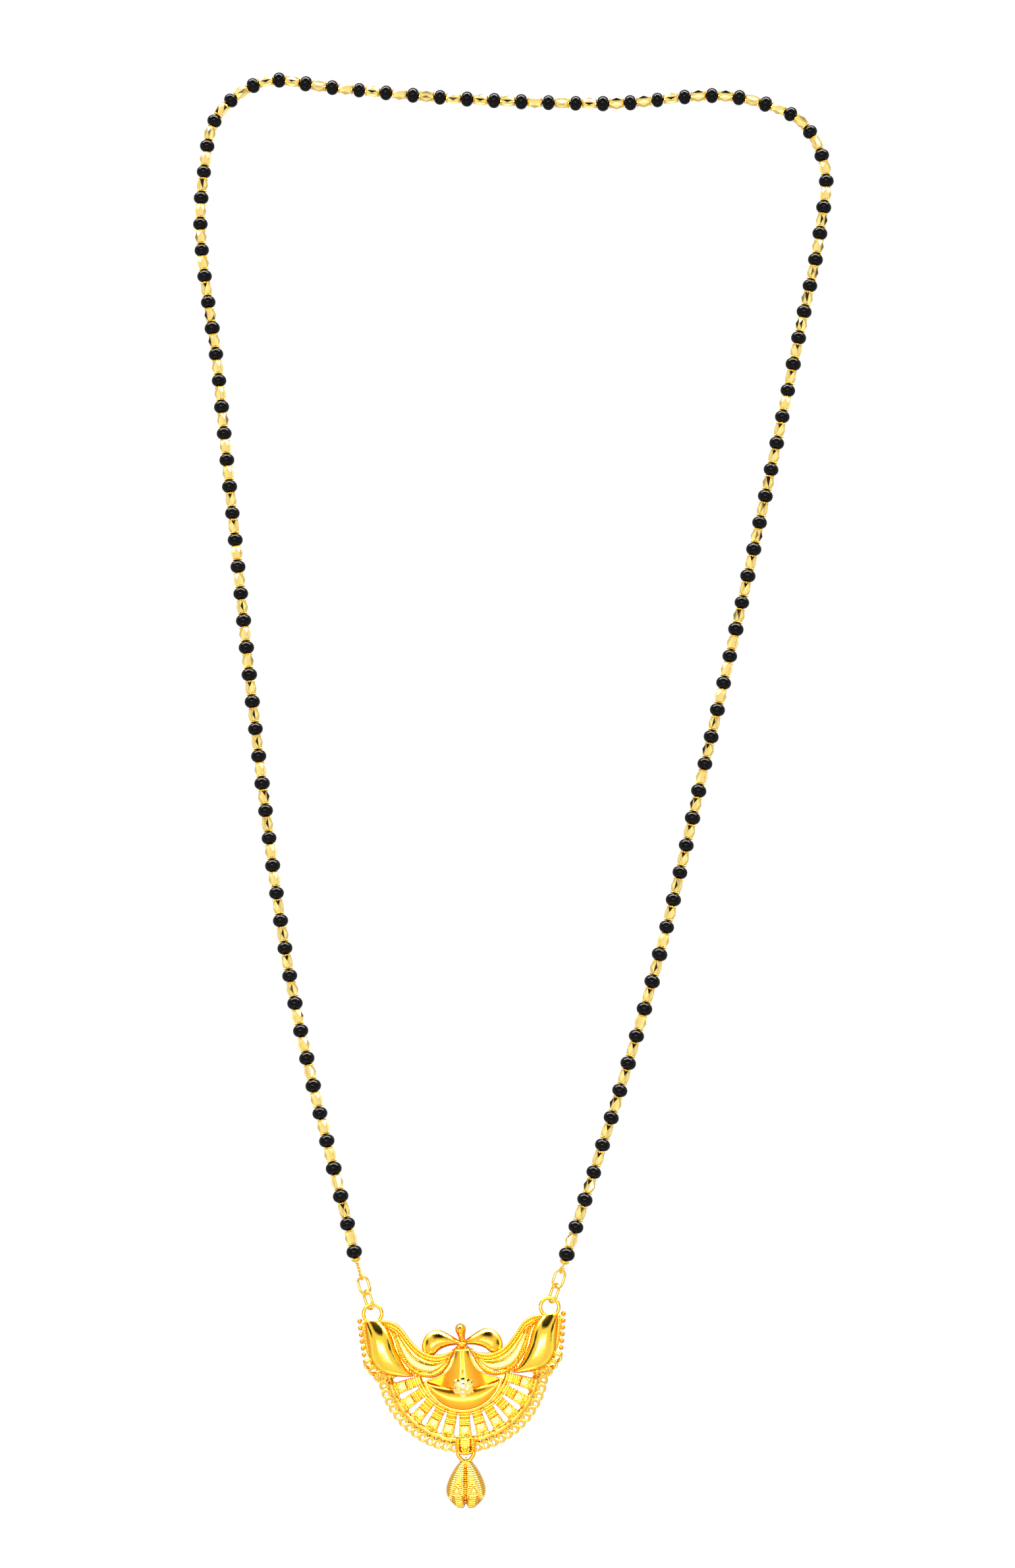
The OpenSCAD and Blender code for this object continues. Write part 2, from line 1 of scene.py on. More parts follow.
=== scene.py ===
# %% [markdown]
# # A mangalsutra lying on a pale table
# A mangalsutra is a necklace of black glass beads and small gold beads that carries a gold
# pendant. This one lies flat with its string laid out in a long loop. The solid model of it is
# loaded first, as a fixed frame in metres, and every visible piece is then built over it.

import math
import bmesh
import bpy
import numpy as np
from mathutils import Matrix, Vector


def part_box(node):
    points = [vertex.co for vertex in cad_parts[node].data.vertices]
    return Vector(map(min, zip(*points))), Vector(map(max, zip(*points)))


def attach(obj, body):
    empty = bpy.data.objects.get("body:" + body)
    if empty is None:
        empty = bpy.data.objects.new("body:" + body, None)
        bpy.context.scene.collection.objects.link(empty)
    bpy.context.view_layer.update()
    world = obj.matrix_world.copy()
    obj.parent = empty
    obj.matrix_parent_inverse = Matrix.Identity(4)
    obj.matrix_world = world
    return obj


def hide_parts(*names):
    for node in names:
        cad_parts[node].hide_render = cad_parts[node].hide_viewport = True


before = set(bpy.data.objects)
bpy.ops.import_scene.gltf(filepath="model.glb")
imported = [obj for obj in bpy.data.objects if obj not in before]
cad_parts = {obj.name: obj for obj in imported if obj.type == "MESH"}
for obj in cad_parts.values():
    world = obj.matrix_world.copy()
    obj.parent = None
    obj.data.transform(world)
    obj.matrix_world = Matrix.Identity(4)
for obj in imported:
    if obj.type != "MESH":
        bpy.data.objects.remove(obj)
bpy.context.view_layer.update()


def put(name, data):
    """An object in the scene that shows this data."""
    made = bpy.data.objects.new(name, data)
    bpy.context.scene.collection.objects.link(made)
    return made



# %% [markdown]
# ## Camera
# The photograph looks almost straight down on the piece, from a little below its foot and a
# little to its right. A camera's matrix holds its right, up and backward directions and its
# place, so it can be written down from two angles and a distance, with no aiming helper.

# %% Camera
MM = 0.001
YAW = math.radians(3.274)
TILT = math.radians(10.186)
LOOK_AT = Vector((-0.982, -4.09, 1.65)) * MM
DISTANCE = 808.32 * MM
FOCAL_PX = 6000
PICTURE_PX = 2380

backward = Vector((math.sin(YAW) * math.cos(TILT), -math.sin(TILT), math.cos(YAW) * math.cos(TILT)))
sideways = Vector((math.cos(YAW), 0, -math.sin(YAW)))
upward = backward.cross(sideways)
camera_data = bpy.data.cameras.new("camera")
camera_data.sensor_fit = "VERTICAL"
camera_data.sensor_height = 24
camera_data.lens = camera_data.sensor_height * FOCAL_PX / PICTURE_PX
camera = put("camera", camera_data)
turn = Matrix((sideways, upward, backward)).transposed().to_4x4()
camera.matrix_world = Matrix.Translation(LOOK_AT + backward * DISTANCE) @ turn
bpy.context.scene.camera = camera
bpy.context.scene.view_settings.view_transform = "Standard"
print("camera stands", round(camera.location.z, 3), "m above the table")

# %% [markdown]
# ## Writing shaders as sums
# A material is a small network of nodes. Written out link by link it is hard to read, so a
# number that varies over a surface is wrapped in a class that understands +, - and *. Any other
# node is added by one method that takes its type, its settings and its inputs, and a noise, a
# step, a mix of colours and the closing shader each have a short name of their own.

# %% Shader helpers
class Level:
    """A number that varies over a surface."""

    def __init__(self, nodes, socket):
        self.nodes = nodes
        self.socket = socket

    def math(self, operation, first, second):
        made = self.nodes.add("ShaderNodeMath", {"operation": operation}, {0: first, 1: second})
        return Level(self.nodes, made.outputs[0])

    def __add__(self, other):
        return self.math("ADD", self, other)

    def __radd__(self, other):
        return self.math("ADD", other, self)

    def __sub__(self, other):
        return self.math("SUBTRACT", self, other)

    def __rsub__(self, other):
        return self.math("SUBTRACT", other, self)

    def __mul__(self, other):
        return self.math("MULTIPLY", self, other)

    def __rmul__(self, other):
        return self.math("MULTIPLY", other, self)


class Nodes:
    """A node tree, with one short way to add any node to it."""

    def __init__(self, tree):
        self.tree = tree
        tree.nodes.clear()

    def add(self, kind, settings=None, inputs=None):
        made = self.tree.nodes.new(kind)
        for name, value in (settings or {}).items():
            setattr(made, name, value)
        for key, value in (inputs or {}).items():
            if isinstance(value, Level):
                value = value.socket
            if isinstance(value, bpy.types.NodeSocket):
                self.tree.links.new(value, made.inputs[key])
            else:
                made.inputs[key].default_value = value
        return made

    def level(self, socket):
        return Level(self, socket)

    def step(self, value, start, end):
        """0 below start, 1 above end and smooth between."""
        made = self.add("ShaderNodeMapRange", {"interpolation_type": "SMOOTHSTEP"},
                        {"Value": value, "From Min": start, "From Max": end})
        return self.level(made.outputs["Result"])

    def blend(self, share, first, second):
        """A colour between two colours."""
        made = self.add("ShaderNodeMix", {"data_type": "RGBA"}, {0: share, 6: first, 7: second})
        return made.outputs[2]

    def noise(self, place, scale, detail):
        """Clouds between 0 and 1, with scale of them to a metre."""
        made = self.add("ShaderNodeTexNoise", None, {"Vector": place, "Scale": scale, "Detail": detail})
        return self.level(made.outputs["Fac"])

    def bump(self, height, strength):
        inputs = {"Strength": strength, "Distance": 0.05 * MM, "Height": height}
        return self.add("ShaderNodeBump", None, inputs).outputs[0]

    def close(self, inputs):
        """End a material with the shader that these inputs feed."""
        shader = self.add("ShaderNodeBsdfPrincipled", None, inputs)
        self.add("ShaderNodeOutputMaterial", None, {0: shader.outputs[0]})


def new_finish(name):
    """A material, its empty node tree and the object's own coordinates."""
    made = bpy.data.materials.new(name)
    made.use_nodes = True
    nodes = Nodes(made.node_tree)
    return made, nodes, nodes.add("ShaderNodeTexCoord").outputs["Object"]


# %% [markdown]
# ## Light
# Polished gold has no colour of its own to show: it shows what stands round it. A jeweller's
# light tent is mostly white with a few dark openings, and those openings give gold its brown
# and black reflections. The tent here is the world's shader, a brightness worked out from the
# direction alone. Each opening is a round patch that darkens it, each lamp one that brightens it:
# a row of small lamps overhead, a row low behind and a broad faint one in front. Camera rays see
# a plain pale background instead.

# %% The light tent
world = bpy.data.worlds.new("light_tent")
world.use_nodes = True
bpy.context.scene.world = world
tent = Nodes(world.node_tree)
ways = tent.add("ShaderNodeSeparateXYZ", None, {0: tent.add("ShaderNodeTexCoord").outputs["Generated"]})
east, north, zenith = [tent.level(ways.outputs[k]) for k in range(3)]


def patch(direction, inner, outer):
    """1 inside a round patch of the tent, 0 outside it; both radii in degrees."""
    x, y, z = Vector(direction).normalized()
    nearness = east * x + north * y + zenith * z
    return tent.step(nearness, math.cos(math.radians(outer)), math.cos(math.radians(inner)))


top = tent.step(zenith, 0.8, 0.95)
low = 1 - tent.step(zenith, 0.1, 0.4)
tent_light = 1.2 + 0.2 * top + 0.4 * low
# Direction, inner and outer radius in degrees, and the share of light taken away or the light added.
OPENINGS = [
    ((0.02, 0.79, 0.61), 20, 26, 0.985),
    ((-0.85, 0.3, 0.4), 10, 14, 0.97),
    ((0.85, 0.2, 0.42), 10, 14, 0.97),
]
LAMPS = [((0.065 * k - 0.07, 0.03, 1), 1.5, 4, 18.0) for k in range(-4, 5)]
LAMPS += [((x, y, 0.12), 9, 15, 36.0) for x, y in ((0, 0.99), (-0.3, 0.95), (0.3, 0.95))]
LAMPS += [((x, 0.8, 0.12), 9, 15, 30.0) for x in (-0.58, 0.58)]
LAMPS += [((-0.1, -0.9, 0.3), 12, 24, 1.5)]
for direction, inner, outer, share_taken in OPENINGS:
    tent_light = tent_light * (1 - share_taken * patch(direction, inner, outer))
for direction, inner, outer, light_added in LAMPS:
    tent_light = tent_light + light_added * patch(direction, inner, outer)
seen = tent.add("ShaderNodeLightPath").outputs["Is Camera Ray"]
lit = tent.add("ShaderNodeBackground", None, {"Strength": tent_light})
plain = tent.add("ShaderNodeBackground", None, {"Color": (0.93, 0.93, 0.93, 1), "Strength": 1.0})
shown = tent.add("ShaderNodeMixShader", None, {0: seen, 1: lit.outputs[0], 2: plain.outputs[0]})
tent.add("ShaderNodeOutputWorld", None, {0: shown.outputs[0]})

# %% [markdown]
# ## Table
# The table is a plain pale sheet. It glows, which keeps the shadows as faint as they are in a
# light tent. In reflections it is darker, so that the outlines of the beads stay crisp.

# %% Table
TABLE_HALF = 1.5
paper, nodes = new_finish("table_paper")[:2]
glossy = nodes.level(nodes.add("ShaderNodeLightPath").outputs["Is Glossy Ray"])
grain = nodes.add("ShaderNodeTexNoise", None, {"Scale": 900.0, "Detail": 3.0})
pale = nodes.blend(grain.outputs["Fac"], (0.9, 0.9, 0.9, 1), (0.94, 0.94, 0.94, 1))
white = nodes.add("ShaderNodeBsdfDiffuse", None, {"Color": pale})
glow = nodes.add("ShaderNodeEmission", None, {"Color": (1, 1, 1, 1), "Strength": 1.06 - 0.46 * glossy})
both = nodes.add("ShaderNodeMixShader", None, {0: 0.9, 1: white.outputs[0], 2: glow.outputs[0]})
nodes.add("ShaderNodeOutputMaterial", None, {0: both.outputs[0]})
mesh = bpy.data.meshes.new("table")
corners = [(x * TABLE_HALF, y * TABLE_HALF, 0) for x, y in ((-1, -1), (1, -1), (1, 1), (-1, 1))]
mesh.from_pydata(corners, [], [(0, 1, 2, 3)])
mesh.materials.append(paper)
table = put("table", mesh)

# %% [markdown]
# ## Finishes
# Cast gold is not one yellow here. Where a polishing wheel reaches it is mirror-like, and deep
# between the forms a little rough. Its colour carries painted shade: pale gold on top and a
# deeper orange low down. Height above the table is a fair measure of that on a piece that lies
# flat, so the finish reads it from the object's own coordinates. Hollows between ribs get a
# redder painted shade still: each mesh stores how hollow it is at every point. A fine grain in
# the bump gives the casting's skin.

# %% Finishes
CREASE_SHADE_RED = (0.4, 0.05, 0.002)


def gold(name, shade_colour, bright, low_mm, high_mm, rough, grain_mm, grain_depth, speckle=0.2, crease_shade=CREASE_SHADE_RED):
    """Painted shade colour below low_mm, bright gold above high_mm; rough is for high and for low places.
    """
    made, nodes, place = new_finish(name)
    height = nodes.level(nodes.add("ShaderNodeSeparateXYZ", None, {0: place}).outputs[2])
    hollow = nodes.level(nodes.add("ShaderNodeAttribute", {"attribute_name": "hollow"}).outputs["Fac"])
    patchy = nodes.noise(place, 420.0, 4.0)
    coarse = nodes.noise(place, 1 / (grain_mm * MM), 3.0)
    fine = nodes.noise(place, 1 / (0.16 * MM), 2.0)
    # The colour blend is painted shade: lower places and hollows get the deeper colours.
    rise = nodes.step(height, low_mm * MM, high_mm * MM)
    share = rise * 0.85 + patchy * 0.3 - 0.1 - 0.6 * hollow
    toned = nodes.blend(share, (*shade_colour, 1), (*bright, 1))
    # Where a mesh is hollow, a red-brown painted shade is blended in.
    colour = nodes.blend(hollow * hollow * hollow * 0.9, toned, (*crease_shade, 1))
    roughness = rough[1] + (rough[0] - rough[1]) * (rise * 0.7 + patchy * 0.3)
    nodes.close({"Base Color": colour, "Metallic": 1.0, "Roughness": roughness,
                 "Normal": nodes.bump(coarse + speckle * fine, grain_depth)})
    return made


# Each finish's first colour is the painted shade of its low places, the second its gold on top.
POLISHED = gold("polished_gold", (1.0, 0.2, 0.004), (1.0, 0.57, 0.045), 0.85, 1.7, (0.08, 0.16), 1.1,
                0.35, 0.25)
SATIN = gold("satin_gold", (1.0, 0.16, 0.003), (1.0, 0.7, 0.07), 1.1, 2.1, (0.1, 0.18), 1.6, 0.5, 0.35)
BOW = gold("bow_gold", (1.0, 0.18, 0.004), (1.0, 0.6, 0.06), 1.1, 2.3, (0.06, 0.12), 0.7, 0.5, 0.9)
BELL_GOLD = gold("bell_gold", (1.0, 0.17, 0.002), (1.0, 0.6, 0.045), 1.2, 2.75, (0.16, 0.24), 1.4, 0.3, 0.1)
MIRROR = gold("mirror_gold", (1.0, 0.3, 0.006), (1.0, 0.66, 0.12), 0.9, 1.7, (0.05, 0.1), 0.6, 0.8, 0.9)
CAST = gold("cast_gold", (1.0, 0.33, 0.012), (1.0, 0.62, 0.08), 0.4, 1.15, (0.12, 0.2), 0.5, 0.35, 0.3)
# The drop's rib valleys get an olive painted shade.
SHELL = gold("shell_gold", (1.0, 0.52, 0.04), (1.0, 0.7, 0.15), 0.2, 1.6, (0.1, 0.18), 0.5, 0.15,
             crease_shade=(0.32, 0.15, 0.01))
WIRE = gold("wire_gold", (1.0, 0.52, 0.04), (1.0, 0.64, 0.1), 0.0, 2.2, (0.05, 0.12), 0.8, 0.15)
LOOP = gold("loop_gold", (0.8, 0.16, 0.003), (1.0, 0.64, 0.1), 0.35, 0.82, (0.05, 0.12), 0.8, 0.15)
CUT = gold("cut_gold", (1.0, 0.6, 0.08), (1.0, 0.77, 0.27), 0.2, 2.6, (0.03, 0.08), 1.2, 0.05, 0.0)

black, nodes, place = new_finish("black_glass")
swirl = nodes.noise(place, 300.0, 3.0)
tint = nodes.blend(swirl, (0.0005, 0.0005, 0.0006, 1), (0.003, 0.002, 0.002, 1))
nodes.close({"Base Color": tint, "Roughness": 0.02 + 0.04 * swirl, "IOR": 1.2,
             "Normal": nodes.bump(swirl, 0.12)})

cotton, nodes, place = new_finish("thread_cotton")
weave = nodes.add("ShaderNodeTexWave", None, {"Vector": place, "Scale": 900.0, "Distortion": 2.0})
twist = nodes.level(weave.outputs["Fac"])
dyed = nodes.blend(twist, (0.01, 0.008, 0.006, 1), (0.05, 0.04, 0.03, 1))
nodes.close({"Base Color": dyed, "Roughness": 0.75 + 0.15 * twist})
print("finishes:", [m.name for m in bpy.data.materials])

# %% [markdown]
# ## Making a piece
# Every piece is a mesh in millimetres that is scaled to metres as it is made. Its faces are
# turned outwards, sharp edges are marked by their angle, it is hung on the empty of the body it
# rides on, its one material slot gets its finish, and the solids it stands for are hidden.


def as_piece(made, finish, stands_for):
    made.data.materials.clear()
    made.data.materials.append(finish)
    for face in made.data.polygons:
        face.material_index = 0
    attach(made, "root")
    if stands_for:
        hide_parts(*stands_for)
    print(made.name, len(made.data.polygons), "faces")
    return made


def read(items, field, width, kind=float):
    """One field of all the items, as an array with a row for each."""
    values = np.zeros(len(items) * width, kind)
    items.foreach_get(field, values)
    return values.reshape(-1, width)


def unit(v):
    """The same directions with a length of one."""
    return v / np.maximum(np.linalg.norm(v, axis=-1, keepdims=True), 1e-9)


def mark_hollows(mesh):
    """Store on each point how far its neighbours stand above its own tangent plane."""
    place = read(mesh.vertices, "co", 3)
    out = read(mesh.vertex_normals, "vector", 3)
    a, b = read(mesh.edges, "vertices", 2, int).T
    way = unit(place[b] - place[a])
    depth = np.zeros(len(place))
    np.add.at(depth, a, (way * out[a]).sum(1))
    np.add.at(depth, b, -(way * out[b]).sum(1))
    depth /= np.maximum(np.bincount(np.append(a, b), minlength=len(place)), 1)
    depth = np.clip(depth * 2, 0, 1).astype(np.float32)
    # The finishes paint shade into hollows by this measure.
    mesh.attributes.new("hollow", "FLOAT", "POINT").data.foreach_set("value", depth)


def mesh_of(name, verts, faces, sharp=40):
    mesh = bpy.data.meshes.new(name)
    mesh.from_pydata((np.array(verts, float).reshape(-1, 3) * MM).tolist(), [], faces)
    shape = bmesh.new()
    shape.from_mesh(mesh)
    bmesh.ops.recalc_face_normals(shape, faces=shape.faces)
    shape.to_mesh(mesh)
    shape.free()
    mark_hollows(mesh)
    mesh.shade_smooth()
    mesh.set_sharp_from_angle(angle=math.radians(sharp))
    return put(name, mesh)


# %% [markdown]
# ## Where the pendant lies
# The pendant is described in its own frame: the centre of its fan is the origin, and its length
# runs along y. On the table it leans by two degrees, as in the photograph.

# %% The pendant's frame
MIDDLE = np.array([-0.1184, 0.1928])
FAN_AT = np.array([-10.05, -121.4]) - MIDDLE
LEAN = math.radians(2)
SPAN = 40.4
RISE = 9.4
FAN_R = 15.3
BOWL_R = 8.9
PLATE = 1.0


def leaned(v):
    """Turned with the pendant's lean."""
    x, y, z = np.array(v, float).reshape(-1, 3).T
    c, s = math.cos(LEAN), math.sin(LEAN)
    return np.stack([x * c - y * s, x * s + y * c, z], 1)


def on_pendant(verts):
    return leaned(verts) + [*FAN_AT, 0]


def joined(parts):
    verts, faces, start = [], [], 0
    for v, f in parts:
        v = np.array(v, float).reshape(-1, 3)
        verts.append(v)
        faces += [tuple(start + i for i in face) for face in f]
        start += len(v)
    return np.vstack(verts), faces


def both_sides(part):
    v, f = part
    v = np.array(v, float).reshape(-1, 3)
    return joined([(v, f), (v * [-1, 1, 1], [tuple(reversed(face)) for face in f])])


# %% [markdown]
# ## Helpers for raised forms
# Most of the pendant is low relief: a form with a flat foot and a shaped top. One helper closes
# a grid of points into such a solid, with walls round its edge and round every hole in it.
# Another sweeps a domed section along a row of widths and heights, which is how petals, bands
# and leaves are shaped.

# %% Relief helpers
FOOT = 0.3


def smooth(rows, n):
    """A smooth run through rows of numbers, n steps to a row."""
    rows = np.array(rows, float)
    last = len(rows) - 1
    out = []
    for i in range(last):
        a, b, c, d = rows[max(i - 1, 0)], rows[i], rows[i + 1], rows[min(i + 2, last)]
        for k in range(n):
            t = k / n
            out.append((2 * b + (c - a) * t + (2 * a - 5 * b + 4 * c - d) * t * t
                        + (3 * b - a - 3 * c + d) * t ** 3) / 2)
    out.append(rows[last])
    return np.array(out)


def held(x):
    """Kept between 0 and 1."""
    return np.clip(x, 0, 1)


def wave(x):
    """1 at every whole number and 0 halfway between two."""
    return 0.5 + 0.5 * np.cos(2 * math.pi * x)


def hump(x, width):
    """1 at 0, and falling away to either side."""
    return np.exp(-(x / width) ** 2)


def distance_along(points):
    """How far each point lies along the line through them all."""
    return np.concatenate([[0], np.cumsum(np.linalg.norm(np.diff(points, axis=0), axis=1))])


def slab(grid, top, base, keep=None):
    """A closed solid over a grid of places, shape (rows, columns, 2), with tops and a flat foot."""
    rows, cols = grid.shape[:2]
    levels = [np.broadcast_to(z, (rows, cols)) for z in (top, base)]
    verts = np.vstack([np.dstack([grid, z]).reshape(-1, 3) for z in levels])
    n = rows * cols
    kept = np.zeros((rows + 1, cols + 1), bool)
    kept[1:-1, 1:-1] = True if keep is None else keep
    faces = []
    for i, j in np.argwhere(kept[1:-1, 1:-1]).tolist():
        a, d = i * cols + j, (i + 1) * cols + j
        b, c = a + 1, d + 1
        faces.append((a, b, c, d))
        faces.append((n + d, n + c, n + b, n + a))
        for missing, p, q in (
            (not kept[i, j + 1], b, a),
            (not kept[i + 2, j + 1], d, c),
            (not kept[i + 1, j], a, d),
            (not kept[i + 1, j + 2], c, b),
        ):
            if missing:
                faces.append((p, q, n + q, n + p))
    used = sorted({i for face in faces for i in face})
    number = {old: new for new, old in enumerate(used)}
    return verts[used], [tuple(number[i] for i in face) for face in faces]


def dome(power, fall):
    """A rule for tops that are full in the middle and low at both edges."""

    def shape(s, u, side, crown):
        return side + (crown - side) * held(1 - np.abs(u) ** power) ** fall

    return shape


round_dome = dome(2, 0.5)


def swept(rows, steps, shape=round_dome):
    """A raised form through rows of x, y, half width, side height and crown.

    shape(s, u, side, crown) gives the top at s millimetres along it and u, from -1 to 1, across."""
    rows = np.array(rows, float)
    way = rows[:, :2]
    ahead = unit(np.gradient(way, axis=0))
    out = np.stack([-ahead[:, 1], ahead[:, 0]], 1)
    u = np.cos(np.linspace(0, math.pi, steps + 1))
    grid = way[:, None, :] + out[:, None, :] * (rows[:, 2][:, None] * u[None, :])[:, :, None]
    s, across = np.meshgrid(distance_along(way), u, indexing="ij")
    return slab(grid, shape(s, across, rows[:, 3][:, None], rows[:, 4][:, None]), FOOT)


def turns(steps):
    """Even angles once round."""
    return np.linspace(0, 2 * math.pi, steps + 1)[:-1]


def skin(rings, sides, ends="flat"):
    """Faces between rings of points. The ends are closed flat, joined to each other, or drawn to two
    points that follow the rings, the last ring's point first."""
    n = rings * sides
    faces = []
    for i in range(rings if ends == "joined" else rings - 1):
        j = (i + 1) % rings
        for k in range(sides):
            m = (k + 1) % sides
            faces.append((i * sides + k, i * sides + m, j * sides + m, j * sides + k))
    if ends == "flat":
        faces.append(tuple(range(sides))[::-1])
        faces.append(tuple(range(n - sides, n)))
    if ends == "points":
        for k in range(sides):
            m = (k + 1) % sides
            faces.append((n - sides + k, n - sides + m, n))
            faces.append((m, k, n + 1))
    return faces


def square_to(way, v):
    """The part of v at right angles to a direction, with a length of one."""
    return unit(v - way * np.dot(v, way))


def wire(path, radius, sides, closed=False):
    """A round wire along points."""
    path = np.array(path, float)
    n = len(path)
    if closed:
        ahead = unit(np.roll(path, -1, 0) - np.roll(path, 1, 0))
    else:
        ahead = unit(np.gradient(path, axis=0))
    first = np.cross(ahead[0], [0.13, 0.21, 0.97])
    if np.linalg.norm(first) < 0.2:
        first = np.cross(ahead[0], [1, 0, 0])
    frames = [unit(first)]
    for way in ahead[1:]:
        frames.append(square_to(way, frames[-1]))
    slip = 0.0
    if closed:
        f = square_to(ahead[0], frames[-1])
        slip = math.atan2(np.dot(np.cross(f, frames[0]), ahead[0]), np.dot(f, frames[0]))
    verts = []
    for i in range(n):
        b = np.cross(ahead[i], frames[i])
        turn = slip * i / n
        for k in range(sides):
            a = 2 * math.pi * k / sides + turn
            verts.append(path[i] + (frames[i] * math.cos(a) + b * math.sin(a)) * radius)
    return verts, skin(n, sides, "joined" if closed else "flat")


def lathe(profile, sides):
    """A closed profile of radius and height turned round the z axis."""
    verts = [(r * math.cos(a), r * math.sin(a), z) for a in turns(sides) for r, z in profile]
    return verts, skin(sides, len(profile), "joined")


def ball(centre, radii, rings, sides):
    """A closed rounded bead."""
    middle, radii = np.array(centre), np.array(radii)
    verts = [middle + radii * [math.sin(a) * math.cos(b), math.sin(a) * math.sin(b), math.cos(a)]
             for a in np.linspace(0, math.pi, rings + 1)[1:-1] for b in turns(sides)]
    verts += [middle - radii * [0, 0, 1], middle + radii * [0, 0, 1]]
    return verts, skin(rings - 1, sides, "points")


def pendant_piece(name, part, finish, sharp=40):
    verts, faces = part
    return as_piece(mesh_of(name, on_pendant(verts), faces, sharp), finish, ("pendant",))


# %% [markdown]
# ## Repeating small things with Geometry Nodes
# Beads, toothed spacers, loops and granules all repeat. One node tree serves them all: it puts
# a copy of a small shape on every point of a cloud, turned so that the shape's own z axis
# follows the direction stored on the point, then rolled by a stored angle and scaled by a stored
# size. Where a spread is given, each copy also gets a random roll. Realize Instances turns the
# copies into plain mesh.

# %% Scattering
def scatter_tree():
    tree = bpy.data.node_groups.new("copies_on_points", "GeometryNodeTree")
    for name, kind in (("Geometry", "Geometry"), ("Shape", "Object"), ("Roll Spread", "Float"),
                       ("Seed", "Int")):
        tree.interface.new_socket(name=name, in_out="INPUT", socket_type="NodeSocket" + kind)
    tree.interface.new_socket(name="Geometry", in_out="OUTPUT", socket_type="NodeSocketGeometry")
    nodes = Nodes(tree)
    given = nodes.add("NodeGroupInput").outputs

    def stored(name, kind):
        made = nodes.add("GeometryNodeInputNamedAttribute", {"data_type": kind}, {"Name": name})
        return nodes.level(made.outputs["Attribute"])

    shape = nodes.add("GeometryNodeObjectInfo", None, {"Object": given["Shape"]})
    chance = nodes.add("FunctionNodeRandomValue", {"data_type": "FLOAT"},
                       {"Seed": given["Seed"], 3: given["Roll Spread"]})
    roll = stored("roll", "FLOAT") + nodes.level(chance.outputs[1])
    along = nodes.add("FunctionNodeAlignRotationToVector", {"axis": "Z"},
                      {"Vector": stored("axis", "FLOAT_VECTOR")})
    spin = nodes.add("FunctionNodeAxisAngleToRotation", None, {"Axis": (0, 0, 1), "Angle": roll})
    turned = nodes.add("FunctionNodeRotateRotation", {"rotation_space": "LOCAL"},
                       {"Rotation": along.outputs[0], "Rotate By": spin.outputs[0]})
    copies = nodes.add("GeometryNodeInstanceOnPoints", None, {
        "Points": given["Geometry"], "Instance": shape.outputs["Geometry"],
        "Rotation": turned.outputs[0], "Scale": stored("size", "FLOAT")})
    real = nodes.add("GeometryNodeRealizeInstances", None, {0: copies.outputs[0]})
    nodes.add("NodeGroupOutput", None, {0: real.outputs[0]})
    return tree


COPIES = scatter_tree()
ANY_ROLL = 6.28


def scatter(name, part, points, axes, finish, stands_for, rolls=0.0, sizes=1.0, spread=0.0,
            seed=0, sharp=35):
    """A piece of many copies of one part, at points in millimetres."""
    pattern = mesh_of(name + "_pattern", *part, sharp)
    points = np.array(points, float).reshape(-1, 3)
    cloud = bpy.data.meshes.new(name)
    cloud.from_pydata((points * MM).tolist(), [], [])
    for key, kind, field, width, value in (
        ("axis", "FLOAT_VECTOR", "vector", 3, axes),
        ("roll", "FLOAT", "value", 1, rolls),
        ("size", "FLOAT", "value", 1, sizes),
    ):
        values = np.ones((len(points), width)) * np.reshape(value, (-1, width))
        column = cloud.attributes.new(key, kind, "POINT").data
        column.foreach_set(field, values.astype(np.float32).ravel())
    made = put(name, cloud)
    change = made.modifiers.new("copies", "NODES")
    change.node_group = COPIES
    sockets = {s.name: s.identifier for s in COPIES.interface.items_tree if s.in_out == "INPUT"}
    for key, value in (("Shape", pattern), ("Roll Spread", spread), ("Seed", seed)):
        change[sockets[key]] = value
    sight = bpy.context.evaluated_depsgraph_get()
    plain_mesh = bpy.data.meshes.new_from_object(made.evaluated_get(sight))
    made.modifiers.clear()
    made.data = plain_mesh
    plain_mesh.name = name
    for key in ("axis", "roll", "size"):
        if key in plain_mesh.attributes:
            plain_mesh.attributes.remove(plain_mesh.attributes[key])
    bpy.data.objects.remove(pattern)
    return as_piece(made, finish, stands_for)


# %% [markdown]
# ## Reading the string from the frame
# The beads of the solid model already lie where they should. Each is a loose lump of triangles
# in one node, so the lumps are found by joining triangles that share a corner, and their
# middles are put in order from the left end of the string. Neighbouring middles then give each
# bead the direction of the thread through it.

# %% Bead places
def lumps(node):
    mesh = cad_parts[node].data
    points = read(mesh.vertices, "co", 3) / MM
    same = np.unique(np.round(points, 4), axis=0, return_inverse=True)[1].ravel()
    mesh.calc_loop_triangles()
    corners = same[read(mesh.loop_triangles, "vertices", 3, int)]
    label = np.arange(same.max() + 1)
    for _ in range(200):
        least = label[corners].min(1)
        new = label.copy()
        for k in range(3):
            np.minimum.at(new, corners[:, k], least)
        new = new[new]
        if (new == label).all():
            break
        label = new
    own = label[same]
    return np.array([(points[own == k].max(0) + points[own == k].min(0)) / 2 for k in np.unique(own)])


